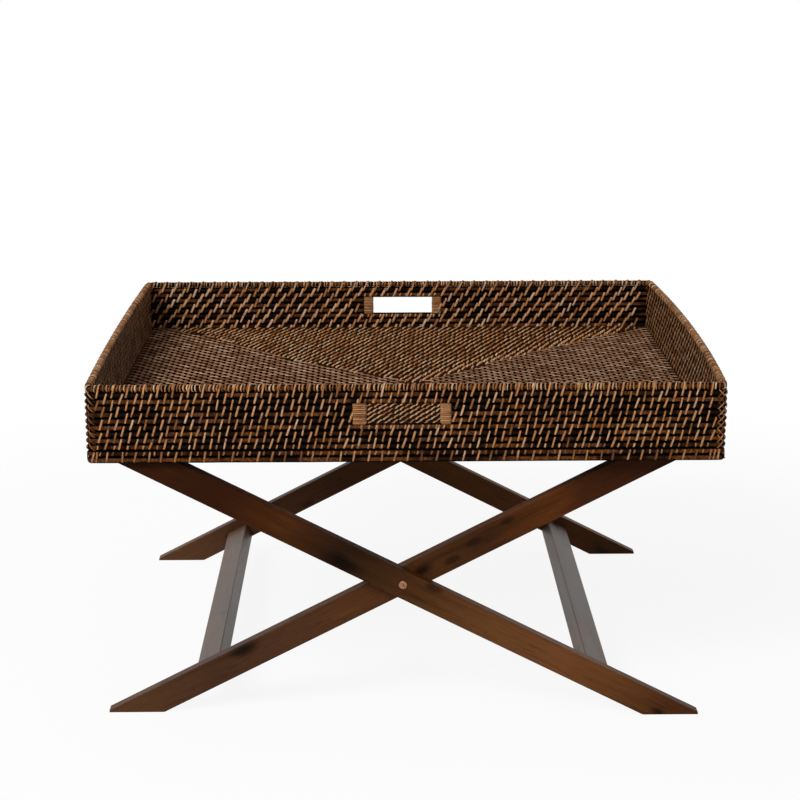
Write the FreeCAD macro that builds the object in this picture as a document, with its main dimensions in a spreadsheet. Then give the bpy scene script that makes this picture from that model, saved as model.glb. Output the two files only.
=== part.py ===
import FreeCAD, Part
import os

import Sketcher
from FreeCAD import Vector

# A rattan tray table. A woven tray with low walls and a hand slot in each long wall stands on a
# folding cross-legged stand of wood. The tray lifts off and the stand folds about its two pivots.
# +Z is up, X runs along the long walls and the origin is on the floor under the middle of the whole.
# Each wall and floor field is first made in its own frame: X along the wall, Y inwards from the
# wall's outer face, Z up from the tray's lower edge. Rods are round ones drawn with eight flats.

TRAY_SIZES = [
    ("tray_length", 900.0, "outside, corner to corner along the long walls"),
    ("tray_width", 800.0, "outside, across the short walls"),
    ("left_bow", 5.0, "how far the left rim stands out at its middle"),
    ("right_bow", 12.0, "how far the right rim stands out at its middle"),
    ("rod_diameter", 9.1, "rattan rod of the walls and the floor"),
    ("rod_gap", 0.3, "between one rod and the next in a wall"),
    ("floor_gap", 0.3, "least gap between two floor rods"),
    ("mitre_gap", 0.2, "between rod ends that meet at a corner"),
    ("band_rods", 2, "rods of the base band, under the wall rods"),
    ("wall_rods", 9, "rods between the base band and the rim"),
    ("slot_rods", 3, "wall rods that each hand slot interrupts"),
    ("rods_under_slot", 4, "whole wall rods below each hand slot"),
    ("slot_length", 104.0, "clear length of each hand slot"),
    ("slot_binding", 17.0, "width of the bound post at each end of a slot"),
    ("binding_bevel", 2.5, "bevel of a bound post"),
    ("board_thickness", 12.5, "panel under the woven floor"),
    ("board_play", 0.5, "between the panel and the walls"),
    ("skirt_depth", 15.1, "how far the walls hang below the panel"),
    ("seat_gap", 0.3, "between the panel and the leg tops"),
    ("tray_slide", 5.5, "how far the loose tray lies to the right on its stand"),
]

STAND_SIZES = [
    ("seat_height", 404.0, "floor to leg tops, with the pivots half way"),
    ("leg_width", 40.0, "of a leg, square to its length"),
    ("leg_thickness", 20.0, "of a leg, front to back"),
    ("leg_gap", 2.0, "between two legs that cross"),
    ("toe_height", 3.0, "blunt upright nose of a foot or leg top"),
    ("edge_bevel", 1.2, "bevel along legs and rails"),
    ("end_play", 8.8, "leg tops to base band, along the tray, when centred"),
    ("side_play", 4.9, "legs to base band, across the tray"),
    ("rail_width", 38.0, "of a cross rail, along the leg"),
    ("rail_thickness", 24.0, "of a cross rail, across the leg"),
    ("rail_drop", 15.0, "leg's upper edge to the rail's broad face"),
    ("low_rail_inset", 133.0, "leg's lower tip to the near edge of a lower rail"),
    ("high_rail_inset", 65.0, "leg's upper tip to the near edge of an upper rail"),
    ("tenon_width", 26.0, "loose tenon that joins rail and leg, along the leg"),
    ("tenon_thickness", 8.0, "loose tenon, across the leg"),
    ("tenon_play", 0.1, "round a tenon"),
    ("tenon_end_play", 0.5, "at each end of a tenon"),
    ("leg_mortise_depth", 12.0, "mortise in the leg"),
    ("rail_mortise_depth", 18.0, "mortise in the rail"),
]

PIVOT_SIZES = [
    ("bolt_diameter", 6.0, "shank of a pivot bolt"),
    ("bolt_play", 0.1, "round the shank in legs and washer"),
    ("thread_play", 0.05, "round the shank in its nut"),
    ("head_diameter", 12.0, "bolt head"),
    ("head_height", 2.5, "bolt head"),
    ("head_bevel", 0.8, "bevel round the bolt head"),
    ("recess_diameter", 13.0, "recess for the head in an outer leg"),
    ("recess_depth", 1.5, "recess for the head in an outer leg"),
    ("socket_width", 4.0, "hexagon socket, across its flats"),
    ("socket_depth", 1.8, "hexagon socket"),
    ("washer_diameter", 18.0, "washer between crossing legs"),
    ("washer_play", 0.2, "on each side of the washer"),
    ("nut_diameter", 12.0, "cap nut inside the inner leg"),
    ("nut_height", 6.0, "cap nut"),
    ("nut_cap", 1.5, "closed end of the nut"),
    ("nut_bevel", 1.2, "bevel round the nut's closed end"),
    ("nut_gap", 0.3, "between the nut and the inner leg"),
    ("overrun", 5.0, "how far a cut runs past what it cuts"),
]

# Every value here is worked out from the sizes above.
DERIVED = [
    ("rod_radius", "Sizes.rod_diameter / 2"),
    ("rod_corner", "Derived.rod_radius * tan(22.5)"),
    ("rod_pitch", "Sizes.rod_diameter + Sizes.rod_gap"),
    ("rim_row", "Sizes.band_rods + Sizes.wall_rods"),
    ("slot_low", "(Sizes.band_rods + Sizes.rods_under_slot) * Derived.rod_pitch"),
    ("slot_high", "Derived.slot_low + Sizes.slot_rods * Derived.rod_pitch"),
    ("slot_half", "Sizes.slot_length / 2"),
    ("post_half", "Derived.slot_half + Sizes.slot_binding"),
    ("half_length", "Sizes.tray_length / 2"),
    ("half_width", "Sizes.tray_width / 2"),
    ("floor_depth", "Derived.half_width - Sizes.rod_diameter"),
    ("floor_rows", "floor(Derived.floor_depth / (Sizes.rod_diameter + Sizes.floor_gap))"),
    ("floor_pitch", "Derived.floor_depth / Derived.floor_rows"),
    ("tray_x", "(Sizes.left_bow - Sizes.right_bow) / 2"),
    ("tray_z", "Sizes.seat_height + Sizes.seat_gap - Sizes.skirt_depth"),
    ("board_top", "Sizes.skirt_depth + Sizes.board_thickness"),
    ("mitre_shift", "Sizes.mitre_gap / sqrt(2)"),
    ("stand_x", "Derived.tray_x - Sizes.tray_slide"),
    ("pivot_z", "Sizes.seat_height / 2"),
    ("toe_reach", "Derived.half_length - Sizes.rod_diameter - Sizes.end_play"),
    ("toe_rise", "Derived.pivot_z - Sizes.toe_height"),
    ("toe_distance", "sqrt(Derived.toe_rise ^ 2 + Derived.toe_reach ^ 2)"),
    ("leg_angle", "(atan(Derived.toe_rise / Derived.toe_reach)"
                  " + asin(Sizes.leg_width / 2 / Derived.toe_distance)) / 1 deg"),
    ("heel_reach", "Derived.pivot_z / tan(Derived.leg_angle)"
                   " - Sizes.leg_width / 2 / sin(Derived.leg_angle)"),
    ("outer_face", "Derived.half_width - Sizes.rod_diameter - Sizes.side_play"),
    ("outer_inside", "Derived.outer_face - Sizes.leg_thickness"),
    ("inner_face", "Derived.outer_inside - Sizes.leg_gap"),
    ("inner_inside", "Derived.inner_face - Sizes.leg_thickness"),
    ("rail_offset", "Sizes.leg_width / 2 - Sizes.rail_drop - Sizes.rail_thickness / 2"),
    ("leg_tip", "Derived.toe_reach * cos(Derived.leg_angle) + Derived.toe_rise * sin(Derived.leg_angle)"),
    ("low_rail", "Derived.leg_tip - Sizes.low_rail_inset - Sizes.rail_width / 2"),
    ("high_rail", "Sizes.high_rail_inset + Sizes.rail_width / 2 - Derived.leg_tip"),
    ("head_seat", "Derived.outer_face - Sizes.recess_depth"),
    ("nut_seat", "Derived.inner_inside - Sizes.nut_gap"),
    ("nut_end", "Derived.nut_seat - Sizes.nut_height"),
]

document = FreeCAD.newDocument("tray_table")
nodes = {}


def write_sheet():
    """Puts every size into the sheet, with its alias and its meaning."""
    sheet = document.addObject("Spreadsheet::Sheet", "Sizes")
    for row, (alias, value, meaning) in enumerate(TRAY_SIZES + STAND_SIZES + PIVOT_SIZES, start=1):
        sheet.set(f"A{row}", alias)
        sheet.set(f"B{row}", str(value))
        sheet.set(f"C{row}", meaning)
        sheet.setAlias(f"B{row}", alias)
    document.recompute()


def write_derived():
    """Holds the values that follow from the sizes."""
    derived = document.addObject("App::VarSet", "Derived")
    for name, expression in DERIVED:
        derived.addProperty("App::PropertyFloat", name, "Derived")
        derived.setExpression(name, expression)
    document.recompute()


def number(expression):
    """Gives an expression's present value as a plain number."""
    value = document.getObject("Derived").evalExpression(expression)
    return float(getattr(value, "Value", value))


def placed(x, y, z, degrees, axis="0; 0; 1"):
    """Writes a placement: a position and a turn about an axis through it."""
    return f"placement(vector({x}; {y}; {z}); rotation(vector({axis}); {degrees}))"


def bind(item, **expressions):
    """Binds an object's properties to expressions."""
    for name, expression in expressions.items():
        item.setExpression(name, expression)


def new_body(label, placement=None):
    """Starts a piece, registered as a node under its label."""
    body = document.addObject("PartDesign::Body", label)
    body.Label = label
    if placement:
        bind(body, Placement=placement)
    nodes[label] = body
    return body


def origin_of(body, role):
    """Finds one of a body's own origin planes or axes."""
    return next(item for item in body.Origin.OriginFeatures if item.Role == role)


def new_sketch(body, role, name, lift=None, shift=None):
    """Starts a sketch on one of the body's origin planes.

    lift moves it along the plane's normal and shift along its own horizontal axis.
    """
    sketch = body.newObject("Sketcher::SketchObject", name)
    sketch.AttachmentSupport = [(origin_of(body, role), "")]
    sketch.MapMode = "FlatFace"
    if lift:
        sketch.setExpression(".AttachmentOffset.Base.z", lift)
    if shift:
        sketch.setExpression(".AttachmentOffset.Base.x", shift)
    return sketch


def pin(sketch, geometry, point, place):
    """Holds a point of the sketch at a place given by two expressions."""
    for kind, expression in zip(("DistanceX", "DistanceY"), place):
        constraint = Sketcher.Constraint(kind, -1, 1, geometry, point, number(expression))
        sketch.setExpression(f"Constraints[{sketch.addConstraint(constraint)}]", expression)


def draw_outline(sketch, corners):
    """Draws a closed outline of straight lines through corners given as pairs of expressions."""
    points = [Vector(number(x), number(y), 0) for x, y in corners]
    lines = [
        sketch.addGeometry(Part.LineSegment(start, end), False)
        for start, end in zip(points, points[1:] + points[:1])
    ]
    for line, following in zip(lines, lines[1:] + lines[:1]):
        sketch.addConstraint(Sketcher.Constraint("Coincident", line, 2, following, 1))
    for line, corner in zip(lines, corners):
        pin(sketch, line, 1, corner)


def draw_circle(sketch, centre, radius):
    """Draws a circle whose centre and radius are expressions."""
    middle = Vector(number(centre[0]), number(centre[1]), 0)
    circle = sketch.addGeometry(Part.Circle(middle, Vector(0, 0, 1), number(radius)), False)
    size = sketch.addConstraint(Sketcher.Constraint("Radius", circle, number(radius)))
    sketch.setExpression(f"Constraints[{size}]", radius)
    pin(sketch, circle, 3, centre)


def draw_oblong(sketch, half_width, half_height):
    """Draws an upright oblong round the sketch's origin."""
    draw_outline(sketch, [
        (f"-{half_width}", f"-{half_height}"),
        (half_width, f"-{half_height}"),
        (half_width, half_height),
        (f"-{half_width}", half_height),
    ])


def finish(body, feature):
    """Makes a feature the body's result."""
    body.Tip = feature
    document.recompute()
    return feature


def new_pad(body, sketch, length, name, reverse=False, both_ways=False):
    """Pads a sketch by a length."""
    pad = body.newObject("PartDesign::Pad", name)
    pad.Profile = sketch
    pad.Reversed = reverse
    if both_ways:
        pad.SideType = "Symmetric"
    bind(pad, Length=length)
    return finish(body, pad)


def new_pocket(body, sketch, name, depth=None, reverse=False):
    """Cuts a sketch to a depth, or right through where no depth is given."""
    before = body.Shape.Volume
    pocket = body.newObject("PartDesign::Pocket", name)
    pocket.Profile = sketch
    pocket.Reversed = reverse
    if depth:
        bind(pocket, Length=depth)
    else:
        pocket.Type = "ThroughAll"
    finish(body, pocket)
    if body.Shape.Volume >= before:
        raise RuntimeError(f"{body.Label}: {name} cuts nothing")
    return pocket


def turn(body, kind, sketch, name):
    """Turns a sketch once round its own upright axis, to add or to cut."""
    feature = body.newObject(kind, name)
    feature.Profile = sketch
    feature.ReferenceAxis = (sketch, ["V_Axis"])
    feature.Angle = 360
    return finish(body, feature)


def new_mirror(body, originals, role, name):
    """Repeats features on the other side of an origin plane."""
    mirror = body.newObject("PartDesign::Mirrored", name)
    mirror.Originals = originals
    mirror.MirrorPlane = (origin_of(body, role), [""])
    return finish(body, mirror)


def bevel_edges(body, feature, direction, size, name):
    """Bevels every straight edge of a feature that runs along a direction."""
    names = []
    for index, edge in enumerate(feature.Shape.Edges, start=1):
        if edge.Curve.TypeId != "Part::GeomLine":
            continue
        if edge.tangentAt(edge.FirstParameter).cross(direction).Length < 1e-6:
            names.append(f"Edge{index}")
    bevel = body.newObject("PartDesign::Chamfer", name)
    bevel.Base = (feature, names)
    bind(bevel, Size=size)
    return finish(body, bevel)


# The stand's legs. Each lies in its own upright plane with the pivot at its middle.

def along_leg(distance, across):
    """A place on a leg that falls to the right: so far down it and so far above its middle line."""
    x = f"({distance}) * cos(Derived.leg_angle) + ({across}) * sin(Derived.leg_angle)"
    z = f"-({distance}) * sin(Derived.leg_angle) + ({across}) * cos(Derived.leg_angle)"
    return x, z


def draw_tenons(sketch, play):
    """Draws a leg's lower and upper tenon in section, wider all round by a play."""
    wide = f"(Sizes.tenon_width / 2 + {play})"
    thick = f"(Sizes.tenon_thickness / 2 + {play})"
    for rail in ("Derived.low_rail", "Derived.high_rail"):
        draw_outline(sketch, [
            along_leg(f"{rail} - {wide}", f"Derived.rail_offset - {thick}"),
            along_leg(f"{rail} + {wide}", f"Derived.rail_offset - {thick}"),
            along_leg(f"{rail} + {wide}", f"Derived.rail_offset + {thick}"),
            along_leg(f"{rail} - {wide}", f"Derived.rail_offset + {thick}"),
        ])


def at_pivot(degrees, side="0"):
    """Places a piece by the pivots, turned about the upright axis."""
    return placed("Derived.stand_x", side, "Derived.pivot_z", degrees)


def make_leg(label, inner_side, recessed, behind, degrees):
    """Makes a leg whose mortised face lies on its frame's plane y = 0.

    behind says that its thickness runs towards +Y from there. degrees turns it, which changes
    a leg that falls to the right into one that falls to the left.
    """
    body = new_body(label, at_pivot(degrees, inner_side))
    outline = new_sketch(body, "XZ_Plane", f"{label}_outline")
    toe_high = "-Derived.pivot_z + Sizes.toe_height"
    draw_outline(outline, [
        ("Derived.heel_reach", "-Derived.pivot_z"),
        ("Derived.toe_reach", "-Derived.pivot_z"),
        ("Derived.toe_reach", toe_high),
        ("-Derived.heel_reach", "Derived.pivot_z"),
        ("-Derived.toe_reach", "Derived.pivot_z"),
        ("-Derived.toe_reach", f"-({toe_high})"),
    ])
    pad = new_pad(body, outline, "Sizes.leg_thickness", f"{label}_blank", reverse=behind)
    slope = Vector(number("cos(Derived.leg_angle)"), 0, -number("sin(Derived.leg_angle)"))
    bevel_edges(body, pad, slope, "Sizes.edge_bevel", f"{label}_edges")
    mortises = new_sketch(body, "XZ_Plane", f"{label}_mortise_outlines")
    draw_tenons(mortises, "Sizes.tenon_play")
    new_pocket(body, mortises, f"{label}_mortises", "Sizes.leg_mortise_depth", reverse=not behind)
    sign = "" if behind else "-"
    hole = "Sizes.bolt_diameter / 2 + Sizes.bolt_play"
    outside = f"{sign}(Sizes.leg_thickness + Sizes.overrun)"
    profile = [("0", f"{sign}(-Sizes.overrun)"), (hole, f"{sign}(-Sizes.overrun)")]
    if recessed:
        floor_of_recess = f"{sign}(Sizes.leg_thickness - Sizes.recess_depth)"
        profile.append((hole, floor_of_recess))
        profile.append(("Sizes.recess_diameter / 2", floor_of_recess))
        profile.append(("Sizes.recess_diameter / 2", outside))
    else:
        profile.append((hole, outside))
    profile.append(("0", outside))
    bore = new_sketch(body, "XY_Plane", f"{label}_pivot_profile")
    draw_outline(bore, profile)
    turn(body, "PartDesign::Groove", bore, f"{label}_pivot_hole")


def make_rail(label, inside, distance, leaning):
    """Makes a cross rail between two legs, with a mortise in both ends.

    leaning is + for the frame whose legs fall to the right and - for the other one.
    """
    x, z = along_leg(distance, "Derived.rail_offset")
    body = new_body(label, placed(f"Derived.stand_x {leaning} ({x})", "0", f"Derived.pivot_z + {z}",
                                  f"{leaning}Derived.leg_angle", axis="0; 1; 0"))
    outline = new_sketch(body, "XZ_Plane", f"{label}_section")
    draw_oblong(outline, "Sizes.rail_width / 2", "Sizes.rail_thickness / 2")
    pad = new_pad(body, outline, f"2 * {inside}", f"{label}_bar", both_ways=True)
    bevel_edges(body, pad, Vector(0, 1, 0), "Sizes.edge_bevel", f"{label}_edges")
    mortise = new_sketch(body, "XZ_Plane", f"{label}_mortise_outline", lift=inside)
    draw_oblong(mortise, "(Sizes.tenon_width / 2 + Sizes.tenon_play)",
                "(Sizes.tenon_thickness / 2 + Sizes.tenon_play)")
    pocket = new_pocket(body, mortise, f"{label}_mortise", "Sizes.rail_mortise_depth")
    new_mirror(body, [pocket], "XZ_Plane", f"{label}_far_mortise")


def make_tenons(label, inside, degrees):
    """Makes the four loose tenons that hold one frame's two rails to its two legs."""
    body = new_body(label, at_pivot(degrees))
    start = f"{inside} + Sizes.leg_mortise_depth - Sizes.tenon_end_play"
    outlines = new_sketch(body, "XZ_Plane", f"{label}_outlines", lift=start)
    draw_tenons(outlines, "0")
    length = "Sizes.leg_mortise_depth + Sizes.rail_mortise_depth - 2 * Sizes.tenon_end_play"
    pad = new_pad(body, outlines, length, f"{label}_near", reverse=True)
    new_mirror(body, [pad], "XZ_Plane", f"{label}_far")


def make_pivot_bolts():
    """Makes the two bolts: a bevelled head in each outer leg's recess and a shank to the nut."""
    body = new_body("pivot_bolts", at_pivot("0"))
    shank, head = "Sizes.bolt_diameter / 2", "Sizes.head_diameter / 2"
    head_top = "-Derived.head_seat - Sizes.head_height"
    tip = "-Derived.nut_end - Sizes.nut_cap"
    profile = new_sketch(body, "XY_Plane", "bolt_profile")
    draw_outline(profile, [
        ("0", head_top),
        (f"{head} - Sizes.head_bevel", head_top),
        (head, f"{head_top} + Sizes.head_bevel"),
        (head, "-Derived.head_seat"),
        (shank, "-Derived.head_seat"),
        (shank, tip),
        ("0", tip),
    ])
    bolt = turn(body, "PartDesign::Revolution", profile, "bolt")
    hexagon = new_sketch(body, "XZ_Plane", "socket_outline", lift=f"-({head_top})")
    corner = "Sizes.socket_width / 2 / cos(30)"
    turns = range(0, 360, 60)
    draw_outline(hexagon, [(f"{corner} * cos({turn})", f"{corner} * sin({turn})") for turn in turns])
    socket = new_pocket(body, hexagon, "socket", "Sizes.socket_depth")
    new_mirror(body, [bolt, socket], "XZ_Plane", "far_bolt")


def make_washers():
    """Makes the washer between the crossing legs at the front, and its twin at the back."""
    body = new_body("pivot_washers", at_pivot("0"))
    near, far = "-Derived.outer_inside + Sizes.washer_play", "-Derived.inner_face - Sizes.washer_play"
    hole, rim = "Sizes.bolt_diameter / 2 + Sizes.bolt_play", "Sizes.washer_diameter / 2"
    profile = new_sketch(body, "XY_Plane", "washer_profile")
    draw_outline(profile, [(hole, near), (rim, near), (rim, far), (hole, far)])
    washer = turn(body, "PartDesign::Revolution", profile, "washer")
    new_mirror(body, [washer], "XZ_Plane", "far_washer")


def make_nuts():
    """Makes the cap nut on each bolt's end."""
    body = new_body("pivot_cap_nuts", at_pivot("0"))
    bore, rim = "Sizes.bolt_diameter / 2 + Sizes.thread_play", "Sizes.nut_diameter / 2"
    seat, end = "-Derived.nut_seat", "-Derived.nut_end"
    profile = new_sketch(body, "XY_Plane", "nut_profile")
    draw_outline(profile, [
        (bore, seat),
        (rim, seat),
        (rim, f"{end} - Sizes.nut_bevel"),
        (f"{rim} - Sizes.nut_bevel", end),
        ("0", end),
        ("0", f"{end} - Sizes.nut_cap + Sizes.thread_play"),
        (bore, f"{end} - Sizes.nut_cap + Sizes.thread_play"),
    ])
    nut = turn(body, "PartDesign::Revolution", profile, "nut")
    new_mirror(body, [nut], "XZ_Plane", "far_nut")


# The tray. Each wall's rods are mitred at 45 degrees where two walls meet.

def draw_rod(sketch, x, y, half_round=False):
    """Draws a rod's section round a middle given by two expressions, or its upper half."""
    wide, corner = "Derived.rod_radius", "Derived.rod_corner"
    upper = [(f"+ {wide}", f"+ {corner}"), (f"+ {corner}", f"+ {wide}"),
             (f"- {corner}", f"+ {wide}"), (f"- {wide}", f"+ {corner}")]
    if half_round:
        lower = [(f"- {wide}", ""), (f"+ {wide}", "")]
    else:
        lower = [(f"- {wide}", f"- {corner}"), (f"- {corner}", f"- {wide}"),
                 (f"+ {corner}", f"- {wide}"), (f"+ {wide}", f"- {corner}")]
    draw_outline(sketch, [(f"{x} {right}", f"{y} {up}") for right, up in upper + lower])


def cut_mitres(body, half, depth, name):
    """Cuts both ends of a bank of rods at 45 degrees, a hair short of the corner's diagonal."""
    sketch = new_sketch(body, "XY_Plane", f"{name}_mitres")
    margin = "2 * Sizes.overrun"
    outside = f"(-{half} + Derived.mitre_shift - {margin})"
    inside = f"(-{half} + Derived.mitre_shift + {depth})"
    for side in ("", "-"):
        draw_outline(sketch, [
            (f"{side}{outside}", f"-({margin})"),
            (f"{side}{inside}", depth),
            (f"{side}{outside}", depth),
        ])
    new_pocket(body, sketch, f"{name}_mitre_cut", reverse=True)


def make_rod_bank(label, placement, half, first_row, count, slotted=False):
    """Makes straight rods that lie one above the other in a wall, with or without a hand slot."""
    body = new_body(label, placement)
    section = new_sketch(body, "YZ_Plane", f"{label}_section")
    draw_rod(section, "Derived.rod_radius", f"({first_row} + 1 / 2) * Derived.rod_pitch")
    pad = new_pad(body, section, f"2 * {half}", f"{label}_rod", both_ways=True)
    if number(count) > 1:
        stack = body.newObject("PartDesign::LinearPattern", f"{label}_stack")
        stack.Originals = [pad]
        stack.Direction = (section, ["V_Axis"])
        bind(stack, Occurrences=count, Length=f"({count} - 1) * Derived.rod_pitch")
        finish(body, stack)
    cut_mitres(body, half, "(Sizes.rod_diameter + Sizes.overrun)", label)
    if slotted:
        slot = new_sketch(body, "XZ_Plane", f"{label}_slot_outline")
        draw_outline(slot, [
            ("-Derived.post_half", "Derived.slot_low"),
            ("Derived.post_half", "Derived.slot_low"),
            ("Derived.post_half", "Derived.slot_high"),
            ("-Derived.post_half", "Derived.slot_high"),
        ])
        new_pocket(body, slot, f"{label}_slot")


def make_bowed_bank(label, placement, bow, first_row, count):
    """Makes the rods of a short wall. Each is an arc, and each row bows more than the one below."""
    body = new_body(label, placement)
    for step in range(int(number(count))):
        row = f"({first_row} + {step})"
        bow_share = f"(({row} + 1 - Sizes.band_rods) / (Derived.rim_row + 1 - Sizes.band_rods))"
        sagitta = f"({bow} * {bow_share})"
        radius = f"((Derived.half_width ^ 2 + {sagitta} ^ 2) / 2 / {sagitta})"
        section = new_sketch(body, "YZ_Plane", f"{label}_section_{step + 1}",
                             shift=f"Derived.rod_radius - {sagitta} + {radius}")
        draw_rod(section, f"-{radius}", f"({row} + 1 / 2) * Derived.rod_pitch")
        rod = body.newObject("PartDesign::Revolution", f"{label}_rod_{step + 1}")
        rod.Profile = section
        rod.ReferenceAxis = (section, ["V_Axis"])
        rod.Midplane = True
        bind(rod, Angle=f"2 * asin((Derived.half_width + Sizes.overrun) / {radius})")
        finish(body, rod)
    cut_mitres(body, "Derived.half_width", "(Sizes.rod_diameter + Sizes.overrun)", label)


def make_slot_bindings(label, placement):
    """Makes the two bound posts that close the cut rods at a hand slot's ends."""
    body = new_body(label, placement)
    outline = new_sketch(body, "XZ_Plane", f"{label}_outline")
    low, high = "Derived.slot_low + Sizes.rod_gap / 2", "Derived.slot_high - Sizes.rod_gap / 2"
    draw_outline(outline, [
        ("Derived.slot_half", low),
        ("Derived.post_half", low),
        ("Derived.post_half", high),
        ("Derived.slot_half", high),
    ])
    pad = new_pad(body, outline, "Sizes.rod_diameter", f"{label}_post", reverse=True)
    edges = bevel_edges(body, pad, Vector(0, 0, 1), "Sizes.binding_bevel", f"{label}_edges")
    new_mirror(body, [pad, edges], "YZ_Plane", f"{label}_other_post")


def make_floor_field(label, placement, half):
    """Makes one field of the floor: half-round rods that shorten towards the middle."""
    body = new_body(label, placement)
    section = new_sketch(body, "YZ_Plane", f"{label}_section")
    draw_rod(section, "Sizes.rod_diameter + Derived.floor_pitch / 2", "Derived.board_top", half_round=True)
    pad = new_pad(body, section, f"2 * {half}", f"{label}_rod", both_ways=True)
    rows = body.newObject("PartDesign::LinearPattern", f"{label}_rows")
    rows.Originals = [pad]
    rows.Direction = (section, ["H_Axis"])
    spread = "(Derived.floor_rows - 1) * Derived.floor_pitch"
    bind(rows, Occurrences="Derived.floor_rows", Length=spread)
    finish(body, rows)
    cut_mitres(body, half, "Derived.half_width", label)


def make_board():
    """Makes the panel that carries the woven floor and rests on the leg tops."""
    body = new_body("base_board", placed("Derived.tray_x", "0", "Derived.tray_z + Sizes.skirt_depth", "0"))
    outline = new_sketch(body, "XY_Plane", "base_board_outline")
    draw_oblong(outline, "(Derived.half_length - Sizes.rod_diameter - Sizes.board_play)",
                "(Derived.half_width - Sizes.rod_diameter - Sizes.board_play)")
    new_pad(body, outline, "Sizes.board_thickness", "base_board_panel")


def make_stand():
    """Makes both frames of the stand and the pivots that join them."""
    make_leg("outer_front_leg", "-Derived.outer_inside", recessed=True, behind=False, degrees="0")
    make_leg("outer_back_leg", "Derived.outer_inside", recessed=True, behind=True, degrees="0")
    make_leg("inner_front_leg", "-Derived.inner_inside", recessed=False, behind=True, degrees="180")
    make_leg("inner_back_leg", "Derived.inner_inside", recessed=False, behind=False, degrees="180")
    frames = (("outer", "Derived.outer_inside", "+"), ("inner", "Derived.inner_inside", "-"))
    for frame, inside, leaning in frames:
        make_rail(f"{frame}_lower_rail", inside, "Derived.low_rail", leaning)
        make_rail(f"{frame}_upper_rail", inside, "Derived.high_rail", leaning)
    make_tenons("outer_tenons", "Derived.outer_inside", "0")
    make_tenons("inner_tenons", "Derived.inner_inside", "180")
    make_pivot_bolts()
    make_washers()
    make_nuts()


def make_tray():
    """Makes the tray: base band, walls, rim, slot bindings, panel and woven floor."""
    make_board()
    x, z = "Derived.tray_x", "Derived.tray_z"
    long_walls = (
        ("front", placed(x, "-Derived.half_width", z, "0")),
        ("back", placed(x, "Derived.half_width", z, "180")),
    )
    for side, place in long_walls:
        half = "Derived.half_length"
        make_rod_bank(f"{side}_base_band", place, half, "0", "Sizes.band_rods")
        make_rod_bank(f"{side}_wall_rods", place, half, "Sizes.band_rods", "Sizes.wall_rods", slotted=True)
        make_rod_bank(f"{side}_rim", place, half, "Derived.rim_row", "1")
        make_slot_bindings(f"{side}_slot_bindings", place)
        make_floor_field(f"{side}_floor_field", place, half)
    short_walls = (
        ("left", placed(f"{x} - Derived.half_length", "0", z, "-90"), "Sizes.left_bow"),
        ("right", placed(f"{x} + Derived.half_length", "0", z, "90"), "Sizes.right_bow"),
    )
    for side, place, bow in short_walls:
        half = "Derived.half_width"
        make_rod_bank(f"{side}_base_band", place, half, "0", "Sizes.band_rods")
        make_bowed_bank(f"{side}_wall_rods", place, bow, "Sizes.band_rods", "Sizes.wall_rods")
        make_bowed_bank(f"{side}_rim", place, bow, "Derived.rim_row", "1")
        make_floor_field(f"{side}_floor_field", place, half)


def check_document():
    """Stops if anything in the document failed, or a node has no sound shape."""
    for item in document.Objects:
        if "Invalid" in item.State or "Error" in item.State:
            raise RuntimeError(f"{item.Label} failed: {item.State}")
    for label, item in nodes.items():
        if item.Shape.isNull() or not item.Shape.isValid() or not item.Shape.Solids:
            raise RuntimeError(f"{label} has no sound shape")


def write_parts():
    """Writes each node's solids to its own file."""
    os.makedirs("parts", exist_ok=True)
    for label, item in sorted(nodes.items()):
        item.Shape.exportStep(f"parts/{label}.step")
        print(f"{label}: {len(item.Shape.Solids)} solids")


write_sheet()
write_derived()
make_stand()
make_tray()
document.recompute()
check_document()
write_parts()
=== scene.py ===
"""Looks of a woven rattan tray table: the weave, the wood, the studio and the camera.

The tray's rods, rims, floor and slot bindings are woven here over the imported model, and the
folding stand, its bolts and the tray's board keep their own solids and get their finishes.
All lengths are in metres. A wall is followed counter-clockwise, seen from above: its own X runs
along it, its Y points into the tray and its Z up.
"""

import logging
import math
from dataclasses import dataclass, replace
from enum import Enum
from typing import Iterable, Optional, Sequence

import bmesh
import bpy
from mathutils import Matrix, Vector

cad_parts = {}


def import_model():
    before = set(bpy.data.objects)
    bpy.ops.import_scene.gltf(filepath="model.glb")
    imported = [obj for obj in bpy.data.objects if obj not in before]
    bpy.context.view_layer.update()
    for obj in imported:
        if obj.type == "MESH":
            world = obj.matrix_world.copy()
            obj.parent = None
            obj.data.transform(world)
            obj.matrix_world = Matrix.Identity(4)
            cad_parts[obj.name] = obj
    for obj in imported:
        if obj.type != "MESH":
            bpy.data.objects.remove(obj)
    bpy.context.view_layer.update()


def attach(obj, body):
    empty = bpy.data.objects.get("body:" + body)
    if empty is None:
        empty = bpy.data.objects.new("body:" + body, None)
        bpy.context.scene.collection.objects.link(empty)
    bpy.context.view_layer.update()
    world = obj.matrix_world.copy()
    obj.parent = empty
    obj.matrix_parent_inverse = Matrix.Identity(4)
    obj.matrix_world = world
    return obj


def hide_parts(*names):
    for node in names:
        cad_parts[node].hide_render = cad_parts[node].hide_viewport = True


LOG = logging.getLogger("rattan_table")

Thing = bpy.types.Object
Material = bpy.types.Material
Socket = bpy.types.NodeSocket
Triple = tuple[float, float, float]
Colour = Triple
Range = tuple[float, ...]
Stops = tuple[tuple[float, Colour], ...]
Line = list[Vector]


def shade(code: str) -> Colour:
    """Turn a written colour into the linear values that a shader takes.

    Args:
        code: Six hexadecimal digits, red first.

    Returns:
        Linear red, green and blue.
    """
    parts = [int(code[i:i + 2], 16) / 255 for i in (0, 2, 4)]
    return tuple(p / 12.92 if p <= 0.04045 else ((p + 0.055) / 1.055) ** 2.4 for p in parts)


def stops(*marks: tuple[float, str]) -> Stops:
    """Turn places and written colours into the stops of a colour ramp."""
    return tuple((place, shade(code)) for place, code in marks)


# Node trees


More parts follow.
